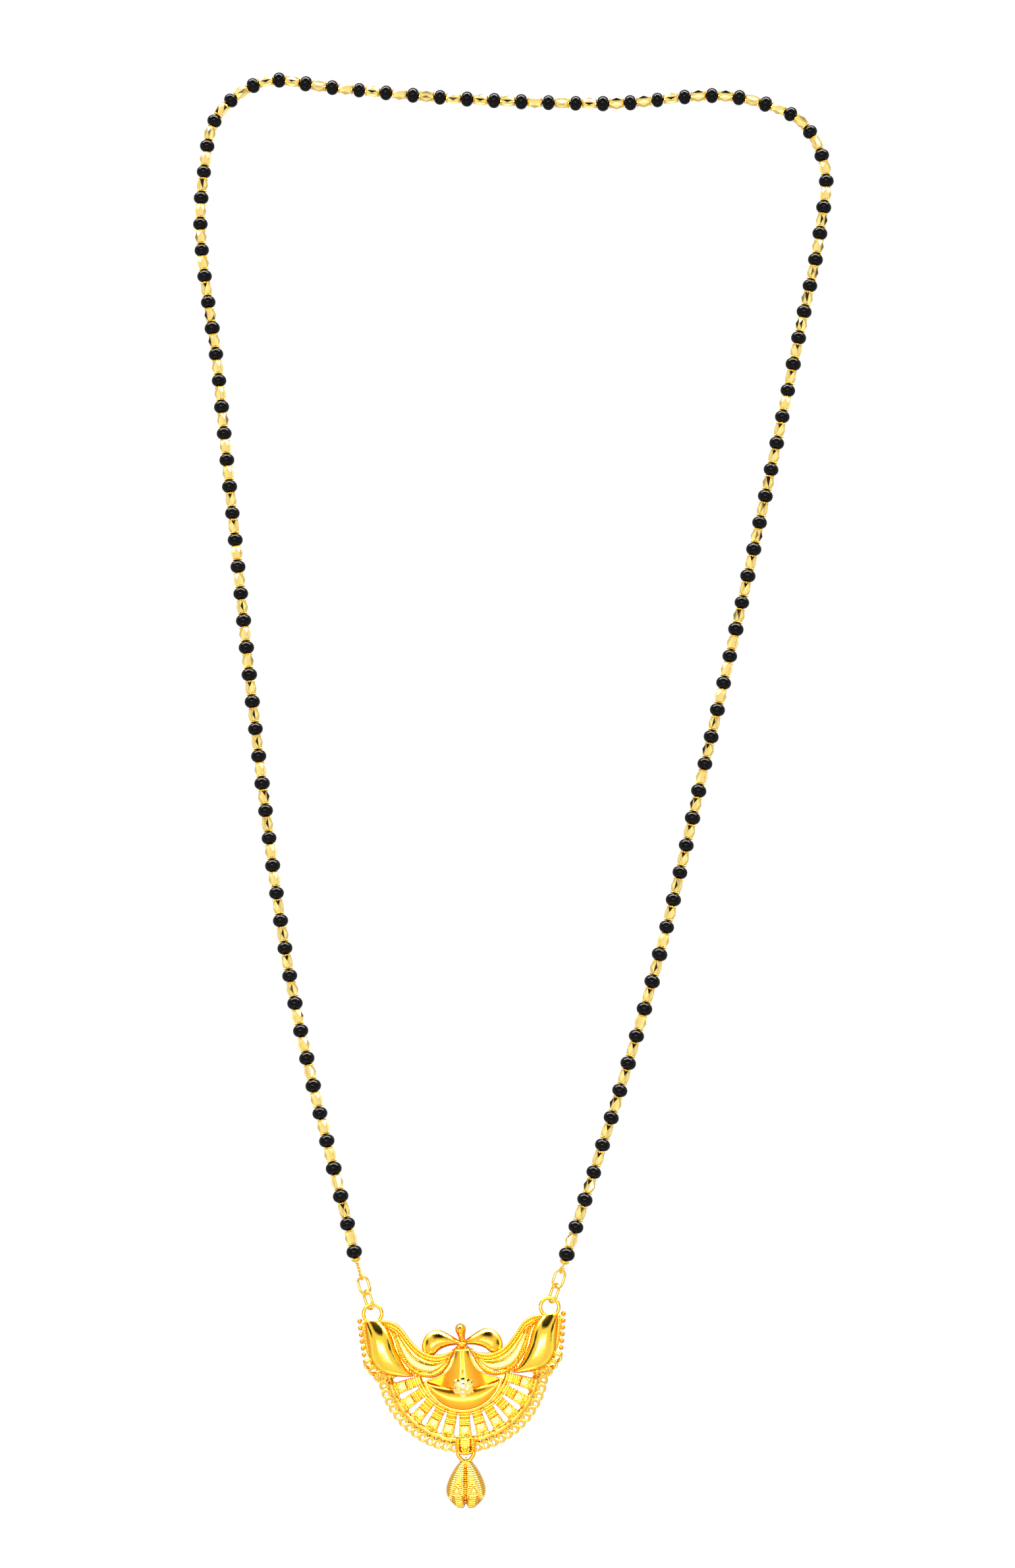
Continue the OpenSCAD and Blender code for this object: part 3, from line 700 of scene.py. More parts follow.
glass_at = lumps("glass_beads")
gold_at = lumps("gold_beads")
low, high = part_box("end_left")
here = np.array([(low[k] + high[k]) / 2 / MM for k in range(3)])
todo = [(tuple(p), "glass") for p in glass_at] + [(tuple(p), "gold") for p in gold_at]
beads = []
while todo:
    nearest = min(todo, key=lambda item: np.linalg.norm(np.array(item[0]) - here))
    todo.remove(nearest)
    beads.append(nearest)
    here = np.array(nearest[0])
bead_at = np.array([b[0] for b in beads])
bead_is_glass = np.array([b[1] == "glass" for b in beads])
bead_way = unit(np.gradient(bead_at, axis=0))
print(len(glass_at), "glass and", len(gold_at), "gold beads in a row")

# %% [markdown]
# ## Black glass beads
# Each is a squat ring of black glass, wider than it is long, with a bore for the thread. Nearly
# a half circle turned round the thread gives it. It repeats over a hundred times, so it has few
# faces and smooth shading does the rest.

# %% Glass beads
GLASS_D = 3.3
GLASS_LEN = 2.6
BORE = 0.9
round_r = GLASS_LEN / 2
hub = (GLASS_D - GLASS_LEN) / 2
start = math.acos((BORE / 2 - hub) / round_r)
profile = [(hub + round_r * math.cos(a), round_r * math.sin(a)) for a in np.linspace(-start, start, 9)]
glass_bead = lathe(profile, 20)
chance = np.random.default_rng(5)
tipped = bead_way[bead_is_glass] + chance.uniform(-0.09, 0.09, (len(glass_at), 3))
scatter("black_glass_beads", glass_bead, bead_at[bead_is_glass], tipped, black,
        ("glass_beads",), spread=ANY_ROLL, seed=3, sizes=chance.uniform(0.94, 1.0, len(glass_at)), sharp=50)

# %% [markdown]
# ## Diamond-cut gold beads
# A small gold barrel is cut flat with a diamond tool: six lozenges round the girdle and twelve
# triangles towards its ends. The facets are what makes it sparkle, so the mesh has just those
# faces and two flat ends, with crisp edges and no smoothing.

# %% Gold beads
GOLD_D = 2.5
GOLD_LEN = 2.35


def cut_bead():
    corner = GOLD_D / 2
    slant = math.cos(math.radians(30))
    edge = corner * slant * slant * 0.97
    half = GOLD_LEN / 2
    verts = []
    for r, z, shift in ((BORE / 2, half, 0), (BORE / 2, -half, 0), (edge, half, 0), (edge, -half, 0),
                        (corner, 0, 30)):
        for k in range(6):
            a = math.radians(60 * k + shift)
            verts.append((r * math.cos(a), r * math.sin(a), z))
    faces = []
    for k in range(6):
        m = (k + 1) % 6
        faces.append((12 + m, 24 + k, 18 + m))
        faces.append((12 + m, 18 + m, 24 + m))
        faces.append((12 + k, 12 + m, 24 + k))
        faces.append((18 + m, 18 + k, 24 + k))
        faces.append((k, m, 12 + m, 12 + k))
        faces.append((6 + m, 6 + k, 18 + k, 18 + m))
        faces.append((m, k, 6 + k, 6 + m))
    return verts, faces


scatter("cut_gold_beads", cut_bead(), bead_at[~bead_is_glass], bead_way[~bead_is_glass], CUT,
        ("gold_beads",), spread=ANY_ROLL, seed=11, sharp=4)

# %% [markdown]
# ## Toothed spacers
# Between any two beads sits a tiny toothed washer. It covers the joint and shows from the side
# as a row of dots. Twelve teeth that narrow a little towards both faces are enough.

# %% Spacers
SPACER_D = 2.1
SPACER_T = 0.38
TEETH = 12


def cog():
    verts = []
    bore = BORE / 2 * 0.7
    rings = ((bore, -0.5), (0.82, -0.5), (1.0, -0.2), (1.0, 0.2), (0.82, 0.5), (bore, 0.5))
    for ring, (share, z) in enumerate(rings):
        for k, a in enumerate(turns(2 * TEETH)):
            r = share if ring in (0, 5) else share * SPACER_D / 2 * (1.0 if k % 2 else 0.76)
            verts.append((r * math.cos(a), r * math.sin(a), z * SPACER_T))
    return verts, skin(len(rings), 2 * TEETH, "joined")


half_len = np.where(bead_is_glass, GLASS_LEN, GOLD_LEN) / 2
spacer_at = []
spacer_way = []
for k in range(len(bead_at) - 1):
    way = bead_at[k + 1] - bead_at[k]
    room = np.linalg.norm(way)
    spacer_at.append(bead_at[k] + way / room * (half_len[k] + (room - half_len[k] - half_len[k + 1]) / 2))
    spacer_way.append(way / room)
for end, outwards in ((-1, 1), (0, -1)):
    spacer_at.append(bead_at[end] + outwards * bead_way[end] * (half_len[end] + 0.2))
    spacer_way.append(bead_way[end])
scatter("toothed_spacers", cog(), spacer_at, spacer_way, WIRE, (), spread=ANY_ROLL, seed=5,
        sharp=50)

# The thread is hidden by beads and spacers, so the solid's own tube is kept and dyed.
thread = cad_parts["thread"]
thread.data.materials.clear()
thread.data.materials.append(cotton)

# %% [markdown]
# ## Chain links and thread ends
# Two open links a side join the pendant's ring to the string, each turned against the next as
# links do. They are bent from round wire, so a wire swept round a long oval is what they are.
# The thread ends in a small cup at either end of the string, and a stem joins the cup to a wire
# eye. The left stem is long and wrapped with the wire's tail.

# %% Places along the chain
RING_D, RING_WIRE, RING_Z = 4.4, 0.72, 1.3
RING_X = SPAN / 2 - 2.45
RING_Y = RISE + 1.35
LINK_WIRE = 0.55
LOW_LEN, LOW_W, LOW_ROLL = 4.3, 3.0, math.radians(-55)
HIGH_LEN, HIGH_W, HIGH_ROLL = 4.15, 2.7, math.radians(28)
EYE_D, EYE_WIRE = 1.3, 0.4
GAP = 0.1
STEM_D, CUP_D, CUP_LEN = 0.75, 1.9, 0.45
CORE_R, TAIL_R, TAIL_TURNS = 0.2, 0.15, 4.5
# Where the left (-1) and the right (1) chain point to, and the lengths of their stems.
CHAIN_TO = {-1: [-32.0, -99.0], 1: [11.0, -99.0]}
STEM_LEN = {-1: 2.2, 1: 0.3}

low_at = (RING_D - RING_WIRE) / 2 - (RING_WIRE + LINK_WIRE) / 2 - 2 * GAP
low_end = low_at + LOW_LEN - LINK_WIRE
high_at = low_end - LINK_WIRE - GAP
high_end = high_at + HIGH_LEN - LINK_WIRE
eye_at = high_end - (LINK_WIRE + EYE_WIRE) / 2 - GAP


def chain_frame(side):
    """One chain's start, its directions along, across and up, and the length of its stem."""
    ring = on_pendant([(side * RING_X, RING_Y, RING_Z)])[0]
    stem = STEM_LEN[side]
    length = eye_at + EYE_D + EYE_WIRE / 2 + stem + CUP_LEN + GAP
    to = unit(np.array(CHAIN_TO[side]) - MIDDLE - ring[:2])
    lift = GLASS_D / 2 - RING_Z
    end = np.array([*(ring[:2] + to * math.sqrt(length ** 2 - lift ** 2)), GLASS_D / 2])
    along = unit(end - ring)
    across = unit(np.cross([0, 0, 1], along))
    return ring, along, across, np.cross(along, across), stem


def in_chain(points, chain):
    origin, along, across, up = chain[:4]
    p = np.array(points, float).reshape(-1, 3)
    return origin + p[:, :1] * along + p[:, 1:2] * across + p[:, 2:] * up


def oval(length, width, roll, start):
    """The middle line of an open link."""
    steps = 14
    r = (width - LINK_WIRE) / 2
    straight = length - width
    shares = np.linspace(0, 1, 6)[1:-1]
    points = [(r - r * math.cos(a), r * math.sin(a)) for a in np.linspace(-math.pi / 2, math.pi / 2, steps)]
    points += [(r + straight * t, r) for t in shares]
    points += [(r + straight + r * math.sin(a), r * math.cos(a)) for a in np.linspace(0, math.pi, steps)]
    points += [(r + straight * (1 - t), -r) for t in shares]
    return [(start + x, y * math.cos(roll), y * math.sin(roll)) for x, y in points]


for side, word in ((-1, "left"), (1, "right")):
    chain = chain_frame(side)
    for name, length, width, roll, at in (
        ("low_link_", LOW_LEN, LOW_W, LOW_ROLL, low_at),
        ("high_link_", HIGH_LEN, HIGH_W, HIGH_ROLL, high_at),
    ):
        way = in_chain(oval(length, width, roll, at), chain)
        link = mesh_of(name + word + "_wire", *wire(way, LINK_WIRE / 2, 12, True))
        as_piece(link, WIRE, (name + word,))

# %% Thread ends
CUP = [(STEM_D / 2, 0.0), (0.62, 0.15), (0.86, 0.3), (CUP_D / 2, 0.42), (CUP_D / 2 - 0.04, CUP_LEN),
       (0.4, CUP_LEN - 0.02)]


def thread_end(side, word):
    """An eye, a stem that a long one wraps with its tail, and a cup for the last bead."""
    chain = chain_frame(side)
    stem = chain[4]
    roll = HIGH_ROLL - math.pi / 2
    eye = [(eye_at + EYE_D / 2 - EYE_D / 2 * math.cos(a), EYE_D / 2 * math.sin(a) * math.cos(roll),
            EYE_D / 2 * math.sin(a) * math.sin(roll)) for a in turns(24)]
    start = eye_at + EYE_D
    stop = start + EYE_WIRE / 2 + stem
    core = [(start - 0.1 + (stop - start + 0.3) * t, 0, 0) for t in np.linspace(0, 1, 4)]
    cup = [(stop + x, r * math.cos(a), r * math.sin(a)) for r, x in CUP for a in turns(18)]
    parts = [wire(in_chain(eye, chain), EYE_WIRE / 2, 10, True), wire(in_chain(core, chain), CORE_R, 8)]
    if stem > 1:
        tail = [(start + 0.05 + (stop - start - 0.05) * t, 0.24 * math.cos(2 * math.pi * TAIL_TURNS * t),
                 0.24 * math.sin(2 * math.pi * TAIL_TURNS * t)) for t in np.linspace(0, 1, 90)]
        parts.append(wire(in_chain(tail, chain), TAIL_R, 8))
    parts.append((in_chain(cup, chain), skin(len(CUP), 18)))
    verts, faces = joined(parts)
    return as_piece(mesh_of("thread_end_" + word, verts, faces), WIRE, ("end_" + word,))


thread_end(-1, "left")
thread_end(1, "right")

# %% [markdown]
# ## The pierced fan
# The foot of the pendant is a half-round plate, cut through by narrow wedges that widen
# outwards. A polar grid suits it: its columns follow the edges of the slots, the cells inside a
# slot are left out. A few thick ridges cross each panel near the bowl, and fine waves fill the
# rest.

# %% Fan
# Degrees from slot to slot, and from the middle to either end of the fan.
SLOT_PITCH, FAN_END = 14.5, 87.0
SLOT_FROM, SLOT_TO = BOWL_R + 1, FAN_R - 1.1
SLOT_IN, SLOT_OUT = 0.6, 1.12
# Radius, height and half width of each ridge.
RIDGES = [(9.1, 0.75, 0.5), (10.15, 0.5, 0.36), (11.0, 0.5, 0.36), (11.8, 0.35, 0.24)]


def fan():
    last = FAN_R - 0.02
    radii = np.append(np.arange(BOWL_R - 1.6, last, 0.075), [SLOT_FROM, SLOT_TO, last])
    radii = np.unique(np.round(radii, 4))
    width = SLOT_IN + (SLOT_OUT - SLOT_IN) * held((radii - SLOT_FROM) / (SLOT_TO - SLOT_FROM))
    ends = np.minimum(np.abs(radii - SLOT_FROM), np.abs(SLOT_TO - radii))
    width *= np.sqrt(np.clip(ends / 0.25, 0.15, 1))
    columns, in_slot = [], []
    for k in range(-6, 7):
        first = (k - 0.5) * SLOT_PITCH
        last = (k + 0.5) * SLOT_PITCH
        left = 0.5 if first > -FAN_END else 0.0
        right = 0.5 if last < FAN_END else 0.0
        for t in np.linspace(0, 1, 15):
            columns.append((max(first, -FAN_END), min(last, FAN_END), left, right, t))
            in_slot.append(False)
        in_slot[-1] = last < FAN_END - 3
    a, b, left, right, t = np.array(columns).T
    middle = (radii[:-1] + radii[1:]) / 2
    r = radii[:, None]
    start = np.radians(a) + left * width[:, None] / r
    stop = np.radians(b) - right * width[:, None] / r
    angle = start + (stop - start) * t
    edge = held(np.minimum(t, 1 - t) * (b - a) * math.pi / 180 * r / 0.22)
    ridges = sum(height * held(1 - ((r - ridge) / half) ** 2) ** 0.6 for ridge, height, half in RIDGES)
    outer = 0.08 * np.sin(r * 2 * math.pi / 0.5 + 2 * np.sin(angle * 30))
    outer = outer * (r > BOWL_R + 4.9) * (r < FAN_R - 0.7)
    inner = 0.05 * np.sin(r * 2 * math.pi / 0.45) * np.sin(angle * 90)
    inner = inner * (r > BOWL_R + 2.6) * (r < BOWL_R + 4.9)
    rim = 0.3 * hump(r - FAN_R + 0.45, 0.25)
    sag = 0.25 * held((r - BOWL_R - 0.8) / 1.2)
    top = PLATE + 0.12 - sag * 0.5 + ridges + outer + inner + rim - 0.14 * (1 - edge) ** 2
    pierced = (SLOT_FROM < middle) & (middle < SLOT_TO)
    keep = ~(pierced[:, None] & np.array(in_slot[:-1])[None, :])
    grid = np.dstack([r * np.sin(angle), -r * np.cos(angle)])
    return slab(grid, top, 0.02, keep)


pendant_piece("pierced_fan", fan(), CAST)

# %% [markdown]
# ## Hearts
# One small polished heart lies on each panel. It has a flat face and a bevelled edge, so its
# outline is drawn as a few rings, each inside the last.

# %% Hearts
def heart(size, high):
    half = smooth([[0.0, 0.24], [0.2, 0.46], [0.44, 0.3], [0.46, 0.06], [0.26, -0.26], [0.0, -0.5]], 4)
    outline = [(x, y) for x, y in half] + [(-x, y) for x, y in half[::-1][1:-1]]
    n = len(outline)
    verts = []
    for share, z in ((1.0, -0.3), (1.0, high * 0.7), (0.86, high), (0.4, high)):
        verts += [(size * x * share, size * y * share, z) for x, y in outline]
    verts += [(0, 0, high), (0, 0, -0.3)]
    return verts, skin(4, n, "points")


HEARTS_R = 0.84 * FAN_R
HEART_SIZE, HEART_H = 1.72, 0.42
angles = [math.radians(k * SLOT_PITCH) for k in range(-5, 6)]
heart_at = on_pendant([(HEARTS_R * math.sin(a), -HEARTS_R * math.cos(a), PLATE + 0.02) for a in angles])
scatter("hearts", heart(HEART_SIZE, HEART_H), heart_at, (0, 0, 1), POLISHED, ("pendant",),
        rolls=[a + LEAN for a in angles])

# %% [markdown]
# ## Back plate of the horns
# Behind the raised forms runs a flat plate that ties them together. It is a band between two
# outlines, with no texture to speak of, because little of it shows.

# %% Horn plates
def horn_plate():
    outer = smooth([[-1, 1], [-0.97, 0.4], [-0.94, 0.05], [-0.84, -0.1], [-0.66, -0.13], [-0.3, -0.14],
                    [0.05, -0.14]], 6)
    inner = smooth([[-0.82, 1], [-0.72, 0.9], [-0.6, 0.6], [-0.42, 0.24], [-0.2, 0.12], [-0.02, 0.18],
                    [0.05, 0.2]], 6)
    share = np.linspace(0, 1, 9)
    grid = outer[:, None, :] * (1 - share)[None, :, None] + inner[:, None, :] * share[None, :, None]
    grid = grid * [SPAN / 2, RISE]
    return slab(grid, PLATE, 0.02)


verts, faces = horn_plate()
for word, side in (("left", 1), ("right", -1)):
    pendant_piece("horn_plate_" + word, (np.array(verts) * [side, 1, 1], faces), CAST)

# %% [markdown]
# ## Petals, leaves and bands
# Each horn carries a fat polished petal, a slim polished leaf, a band of fine cross ribs with a
# plain rim, and a band of slanting ribs like rope. Each is one table and one rule for the top of
# its section. A row of the table holds a point on one edge, the point across from it on the other,
# the height at the edges and the height of the crest.

# %% Forms between two edges
def between(rows, count, shape, step=None, steps=8):
    """A raised form between two edges, with count cells across it and, if given, a row each step."""
    rows = smooth(rows, steps)
    if step:
        reach = distance_along((rows[:, :2] + rows[:, 2:4]) / 2)
        marks = np.linspace(0, reach[-1], int(reach[-1] / step) + 1)
        rows = np.stack([np.interp(marks, reach, rows[:, k]) for k in range(6)], 1)
    u = np.cos(np.linspace(0, math.pi, count + 1))
    middle = (rows[:, :2] + rows[:, 2:4]) / 2
    half = (rows[:, 2:4] - rows[:, :2]) / 2
    grid = middle[:, None, :] - half[:, None, :] * u[None, :, None]
    s, across = np.meshgrid(distance_along(middle), u, indexing="ij")
    top = shape(s, across, rows[:, 4][:, None], rows[:, 5][:, None])
    return slab(grid, top, FOOT)


soft_dome = dome(2.1, 0.85)
petal_dome = dome(2.6, 0.85)
flat_dome = dome(4, 0.8)


def lobe_dome(s, u, side, crown):
    """The crest lies nearer the inner edge, so the long outer slope mirrors the tent's opening."""
    return soft_dome(s, np.where(u > -0.35, (u + 0.35) / 1.35, (u + 0.35) / 0.65), side, crown)


# %% Petals and leaves
PETAL = [
    [-18.9, 9.35, -16.3, 9.1, 1.4, 1.6], [-19.15, 8.3, -15.2, 8.2, 1.4, 2.1],
    [-19.1, 7.1, -14.5, 7.1, 1.4, 2.6], [-19.0, 5.9, -14.0, 5.9, 1.4, 2.9],
    [-18.85, 4.6, -13.65, 4.7, 1.4, 3.0], [-18.75, 3.3, -13.3, 3.5, 1.4, 3.0],
    [-18.5, 1.8, -12.75, 2.3, 1.4, 2.95], [-17.7, 0.3, -12.2, 1.1, 1.4, 2.85],
    [-16.6, -0.8, -11.7, 0.15, 1.4, 2.65], [-15.2, -1.5, -11.2, -0.5, 1.3, 2.4],
    [-13.3, -1.85, -10.7, -1.05, 1.3, 2.05], [-11.4, -2.0, -10.2, -1.5, 1.2, 1.7],
    [-10.1, -1.95, -9.85, -1.7, 1.2, 1.3],
]
LEAF = [
    [-14.0, 7.7, -13.4, 7.8, 1.3, 1.5], [-13.1, 5.4, -12.3, 5.8, 1.6, 1.95],
    [-12.3, 3.2, -11.1, 3.9, 1.7, 2.15], [-11.4, 1.2, -10.1, 2.5, 1.7, 2.2],
    [-10.1, -0.3, -8.9, 1.5, 1.7, 2.2], [-8.2, -1.2, -7.4, 0.75, 1.7, 2.2],
    [-6.1, -1.3, -5.7, 0.4, 1.7, 2.15], [-4.3, -0.4, -4.1, 0.75, 1.6, 2.0],
    [-2.9, 1.3, -2.6, 1.7, 1.3, 1.6],
]
pendant_piece("petals", both_sides(between(PETAL, 26, petal_dome)), SATIN, 60)
pendant_piece("leaves", both_sides(between(LEAF, 16, flat_dome)), MIRROR, 60)

# %% Bands
UPPER_BAND = [
    [-16.2, 9.35, -15.9, 8.3, 0.9, 1.7], [-14.4, 9.2, -14.5, 7.6, 0.9, 2.2],
    [-12.9, 8.6, -13.0, 6.7, 0.9, 2.35], [-11.9, 7.5, -12.2, 5.8, 0.9, 2.4],
    [-10.9, 6.1, -11.4, 4.6, 0.9, 2.4], [-9.9, 4.8, -10.5, 3.4, 0.9, 2.4],
    [-8.8, 3.65, -9.4, 2.2, 0.9, 2.4], [-7.6, 2.8, -8.1, 1.25, 0.9, 2.4],
    [-6.2, 2.3, -6.6, 0.6, 0.9, 2.4], [-4.8, 2.15, -5.0, 0.4, 0.9, 2.35],
    [-3.1, 2.35, -3.4, 0.9, 0.9, 2.3], [-1.75, 3.1, -2.2, 1.9, 0.9, 2.2],
    [-0.85, 3.95, -1.2, 2.9, 0.9, 2.0],
]
ROPE_BAND = [
    [-15.9, 8.5, -15.2, 8.6, 0.8, 1.6], [-14.4, 7.1, -13.5, 7.4, 0.8, 2.1],
    [-13.5, 5.0, -12.5, 5.25, 0.8, 2.4], [-12.9, 2.8, -11.8, 3.2, 0.8, 2.5],
    [-12.0, 0.95, -11.0, 1.4, 0.8, 2.5], [-10.35, -1.0, -9.7, -0.35, 0.8, 2.5],
    [-8.4, -2.15, -8.0, -1.3, 0.8, 2.5], [-6.2, -2.35, -6.2, -1.4, 0.8, 2.5],
    [-4.2, -1.6, -4.5, -0.7, 0.8, 2.5], [-2.7, 0.1, -3.5, 0.4, 0.8, 2.5],
    [-2.05, 1.6, -2.75, 1.85, 0.8, 2.5], [-1.3, 2.9, -1.95, 3.15, 0.8, 2.4],
]
EDGE_STRIP = [
    [-20.1, 9.1, -18.9, 9.3, 0.8, 1.3], [-20.05, 7.5, -18.95, 7.6, 0.8, 1.4],
    [-19.85, 5.8, -18.7, 5.9, 0.8, 1.4], [-19.6, 4.2, -18.45, 4.3, 0.8, 1.4],
    [-19.2, 2.8, -18.0, 2.95, 0.8, 1.4], [-18.4, 1.3, -17.3, 1.6, 0.8, 1.3],
]


def rim_and_ribs(s, u, side, crown):
    """A wide rim on one edge, a narrow one on the other and fine ribs between them."""
    rim = held(1 - ((u - 0.62) / 0.38) ** 2) ** 0.5
    lower_rim = held(1 - ((u + 0.82) / 0.18) ** 2) ** 0.5
    field = held((0.34 - u) / 0.1) * held((u + 0.68) / 0.1)
    ribs = wave(s / 0.46 - 0.3 * u) ** 1.2
    raised = np.maximum(rim * (u > 0.3), lower_rim * 0.8 * (u < -0.64))
    return crown - 0.6 + 0.6 * np.maximum(raised, field * 0.7) - 0.34 * ribs * field


def rope(s, u, side, crown):
    """Slanting strands between two smooth rims."""
    rise = held(1 - u ** 2) ** 0.5
    rims = held((np.abs(u) - 0.66) / 0.1)
    ribs = wave(s / 0.42 + 0.7 * u)
    return side + (crown - side) * (0.55 * rise + 0.45 * rise ** 0.3) - 0.34 * ribs * (1 - rims)


def edge_ribs(s, u, side, crown):
    return side + (crown - side) * held((1 - np.abs(u)) * 4) - 0.1 * wave(s / 0.33 + 0.4 * u)


for name, rows, step, count, rule in (
    ("upper_bands", UPPER_BAND, 0.052, 18, rim_and_ribs),
    ("rope_bands", ROPE_BAND, 0.05, 12, rope),
    ("edge_strips", EDGE_STRIP, 0.05, 6, edge_ribs),
):
    pendant_piece(name, both_sides(between(rows, count, rule, step)), CAST, 75)

# %% [markdown]
# ## The bell
# The middle of the pendant is a bell: a narrow neck that flares into a bowl, with a curved
# crease where the flare meets the bowl. Its top is worked out at each row from the neck down:
# hollow beside the middle line above the crease, and full below it.

# %% Bell
BOWL_Y = -1.23
BOWL_OUT = 7.52
# Places along the bell and its half widths there.
BELL = [
    [3.5, 1.0], [2.5, 1.4], [1.0, 1.75], [-0.2, 2.3], [-1.0, 2.95], [-1.65, 3.75], [-2.4, 5.3],
    [-3.0, 7.2],
]


def bell():
    """Rows run down the bell and its bowl, columns across it."""
    y, w = smooth(BELL, 10).T
    corner_y, corner_x = y[-1], w[-1]
    lowest = BOWL_Y - BOWL_OUT + 0.02
    bowl_y = corner_y + (lowest - corner_y) * np.sin(np.linspace(0, math.pi / 2, 60))[1:]
    bowl_w = np.sqrt(np.maximum(BOWL_OUT ** 2 - (bowl_y - BOWL_Y) ** 2, 0.03))
    u = np.sin(np.linspace(-math.pi / 2, math.pi / 2, 81))
    x = np.append(w, bowl_w)[:, None] * u
    y = np.append(y, bowl_y)[:, None] + 0 * u
    crease = corner_y - 0.2 - 1.5 * held(1 - (x / corner_x) ** 2)
    rim_y = BOWL_Y - np.sqrt(np.maximum(BOWL_OUT ** 2 - x ** 2, 0))
    down = held((crease - y) / np.maximum(crease - rim_y, 0.05))
    fall = hump(x, 1.5 + 0.26 * np.maximum(2.5 - y, 0))
    hollow = 1.75 - 0.35 * held((2.5 - y) / 7)
    neck = held((3.62 - y) / 0.9) ** 0.5
    flare = 0.9 + (hollow + (2.75 - hollow) * fall - 0.9) * neck
    boat = 1.5 + 1.2 * np.sqrt(down * (1.75 - 0.75 * down)) * (1.0 - 0.55 * down ** 2.5)
    middle = 0.14 * hump(x, 0.16) * held(y + 2.6) * held((2.9 - y) / 0.6)
    below = held((crease - y) / 0.3 + 0.5)
    top = (flare - middle) * (1 - below) + boat * below
    grid = np.dstack([x, y])
    return slab(grid, top, FOOT)


pendant_piece("bell", bell(), BELL_GOLD, 50)

# %% [markdown]
# ## Rims of the bell and the bowl
# A thin bright rim follows both sides of the bell, and a thicker one follows the arc of the
# bowl. Both are round in section and smooth.

# %% Rims
flare = [(w, y, 1.85) for y, w in smooth(BELL, 8)][4:]
reach = math.atan2(7.3, 1.97)
bowl_rim = [(7.8 * math.sin(a), BOWL_Y - 7.8 * math.cos(a), 1.5) for a in np.linspace(-reach, reach, 90)]
rims = [wire(bowl_rim, 0.46, 14)]
for side in (-1, 1):
    rims.append(wire(np.array(flare) * [side, 1, 1], 0.17, 10))
pendant_piece("bell_rims", joined(rims), WIRE, 60)

# %% [markdown]
# ## The flower
# A seven-part flower sits on the middle of the bell, and each part is cut like a gem: a flat
# table, a ring of facets and a wall. The facets catch the light one by one, so they stay sharp.

# %% Flower
def cut_petal(radius, high):
    verts = []
    sides = 7
    for r, z in ((1.0, -0.55), (1.0, 0.0), (0.84, high * 0.7), (0.42, high)):
        for k in range(sides):
            a = 2 * math.pi * (k + (0.5 if r == 0.84 else 0)) / sides
            verts.append((radius * r * math.cos(a), radius * r * math.sin(a), z))
    return verts, skin(4, sides)


FLOWER_Y = -4.3
PETALS_R = 1.42
CUT_R, CUT_H = 0.84, 0.36
around = [math.radians(60 * k + 30) for k in range(6)]
flower_at = [(0, FLOWER_Y, 2.75)] + [
    (PETALS_R * math.cos(a), FLOWER_Y + PETALS_R * math.sin(a), 2.45) for a in around]
lean_out = [(0, 0, 1)] + [(0.28 * math.cos(a + LEAN), 0.28 * math.sin(a + LEAN), 1) for a in around]
scatter("flower", cut_petal(CUT_R, CUT_H), on_pendant(flower_at), lean_out, CUT,
        ("pendant",), rolls=[0.3 * k for k in range(7)], sharp=10)

# %% [markdown]
# ## The bow
# Above the bell is a bow of two fat lobes that hang down at their ends, with a knot of small
# beads and an upright bulb.

# %% Bow
KNOT_Y = 4.0
LOBE = [
    [-0.3, 4.7, -0.3, 3.9, 1.2, 1.6], [-1.4, 5.35, -1.5, 3.95, 1.4, 2.1],
    [-2.9, 6.3, -2.7, 3.8, 1.5, 2.45], [-4.5, 7.0, -3.75, 3.5, 1.6, 2.7],
    [-6.1, 6.85, -4.6, 3.1, 1.6, 2.8], [-7.35, 5.8, -5.1, 2.7, 1.6, 2.8],
    [-8.0, 4.3, -5.4, 2.4, 1.5, 2.65], [-7.95, 3.1, -6.0, 2.2, 1.4, 2.3],
    [-7.2, 2.35, -6.7, 2.1, 1.2, 1.7],
]
pendant_piece("bow_lobes", both_sides(between(LOBE, 22, lobe_dome, steps=10)), BOW, 60)

bulb = [
    (0, -0.2, 0.3, 0.9), (0, 0.3, 0.62, 1.5), (-0.05, 1.1, 0.6, 1.75), (-0.12, 1.9, 0.72, 2.1),
    (-0.2, 2.6, 0.98, 2.75), (-0.24, 3.0, 1.04, 2.8), (-0.28, 3.5, 0.98, 2.6), (-0.3, 3.9, 0.74, 2.25),
    (-0.3, 4.2, 0.2, 1.6),
]
bulb_rows = [(x, y + KNOT_Y, w, 0.55 * top, top) for x, y, w, top in smooth(bulb, 6)]
pendant_piece("bow_bulb", swept(bulb_rows, 16, shape=soft_dome), POLISHED, 60)
knot = joined([
    ball((0, KNOT_Y - 0.05, 1.75), (0.95, 0.6, 0.85), 8, 16),
    ball((0, KNOT_Y - 1.05, 1.75), (0.62, 0.42, 0.6), 8, 14),
    ball((-0.55, KNOT_Y - 0.75, 1.6), (0.4, 0.36, 0.45), 6, 12),
    ball((0.55, KNOT_Y - 0.75, 1.6), (0.4, 0.36, 0.45), 6, 12),
])
pendant_piece("bow_knot", knot, POLISHED, 60)

# %% [markdown]
# ## Hanging rings
# The two rings at the tips of the horns are closed rounds of plain wire.

# %% Hanging rings
for side, word in ((-1, "left"), (1, "right")):
    r = (RING_D - RING_WIRE) / 2
    way = [(side * RING_X + r * math.cos(a), RING_Y + r * math.sin(a), RING_Z) for a in turns(40)]
    pendant_piece("hanging_ring_" + word, wire(way, RING_WIRE / 2, 14, True), POLISHED)

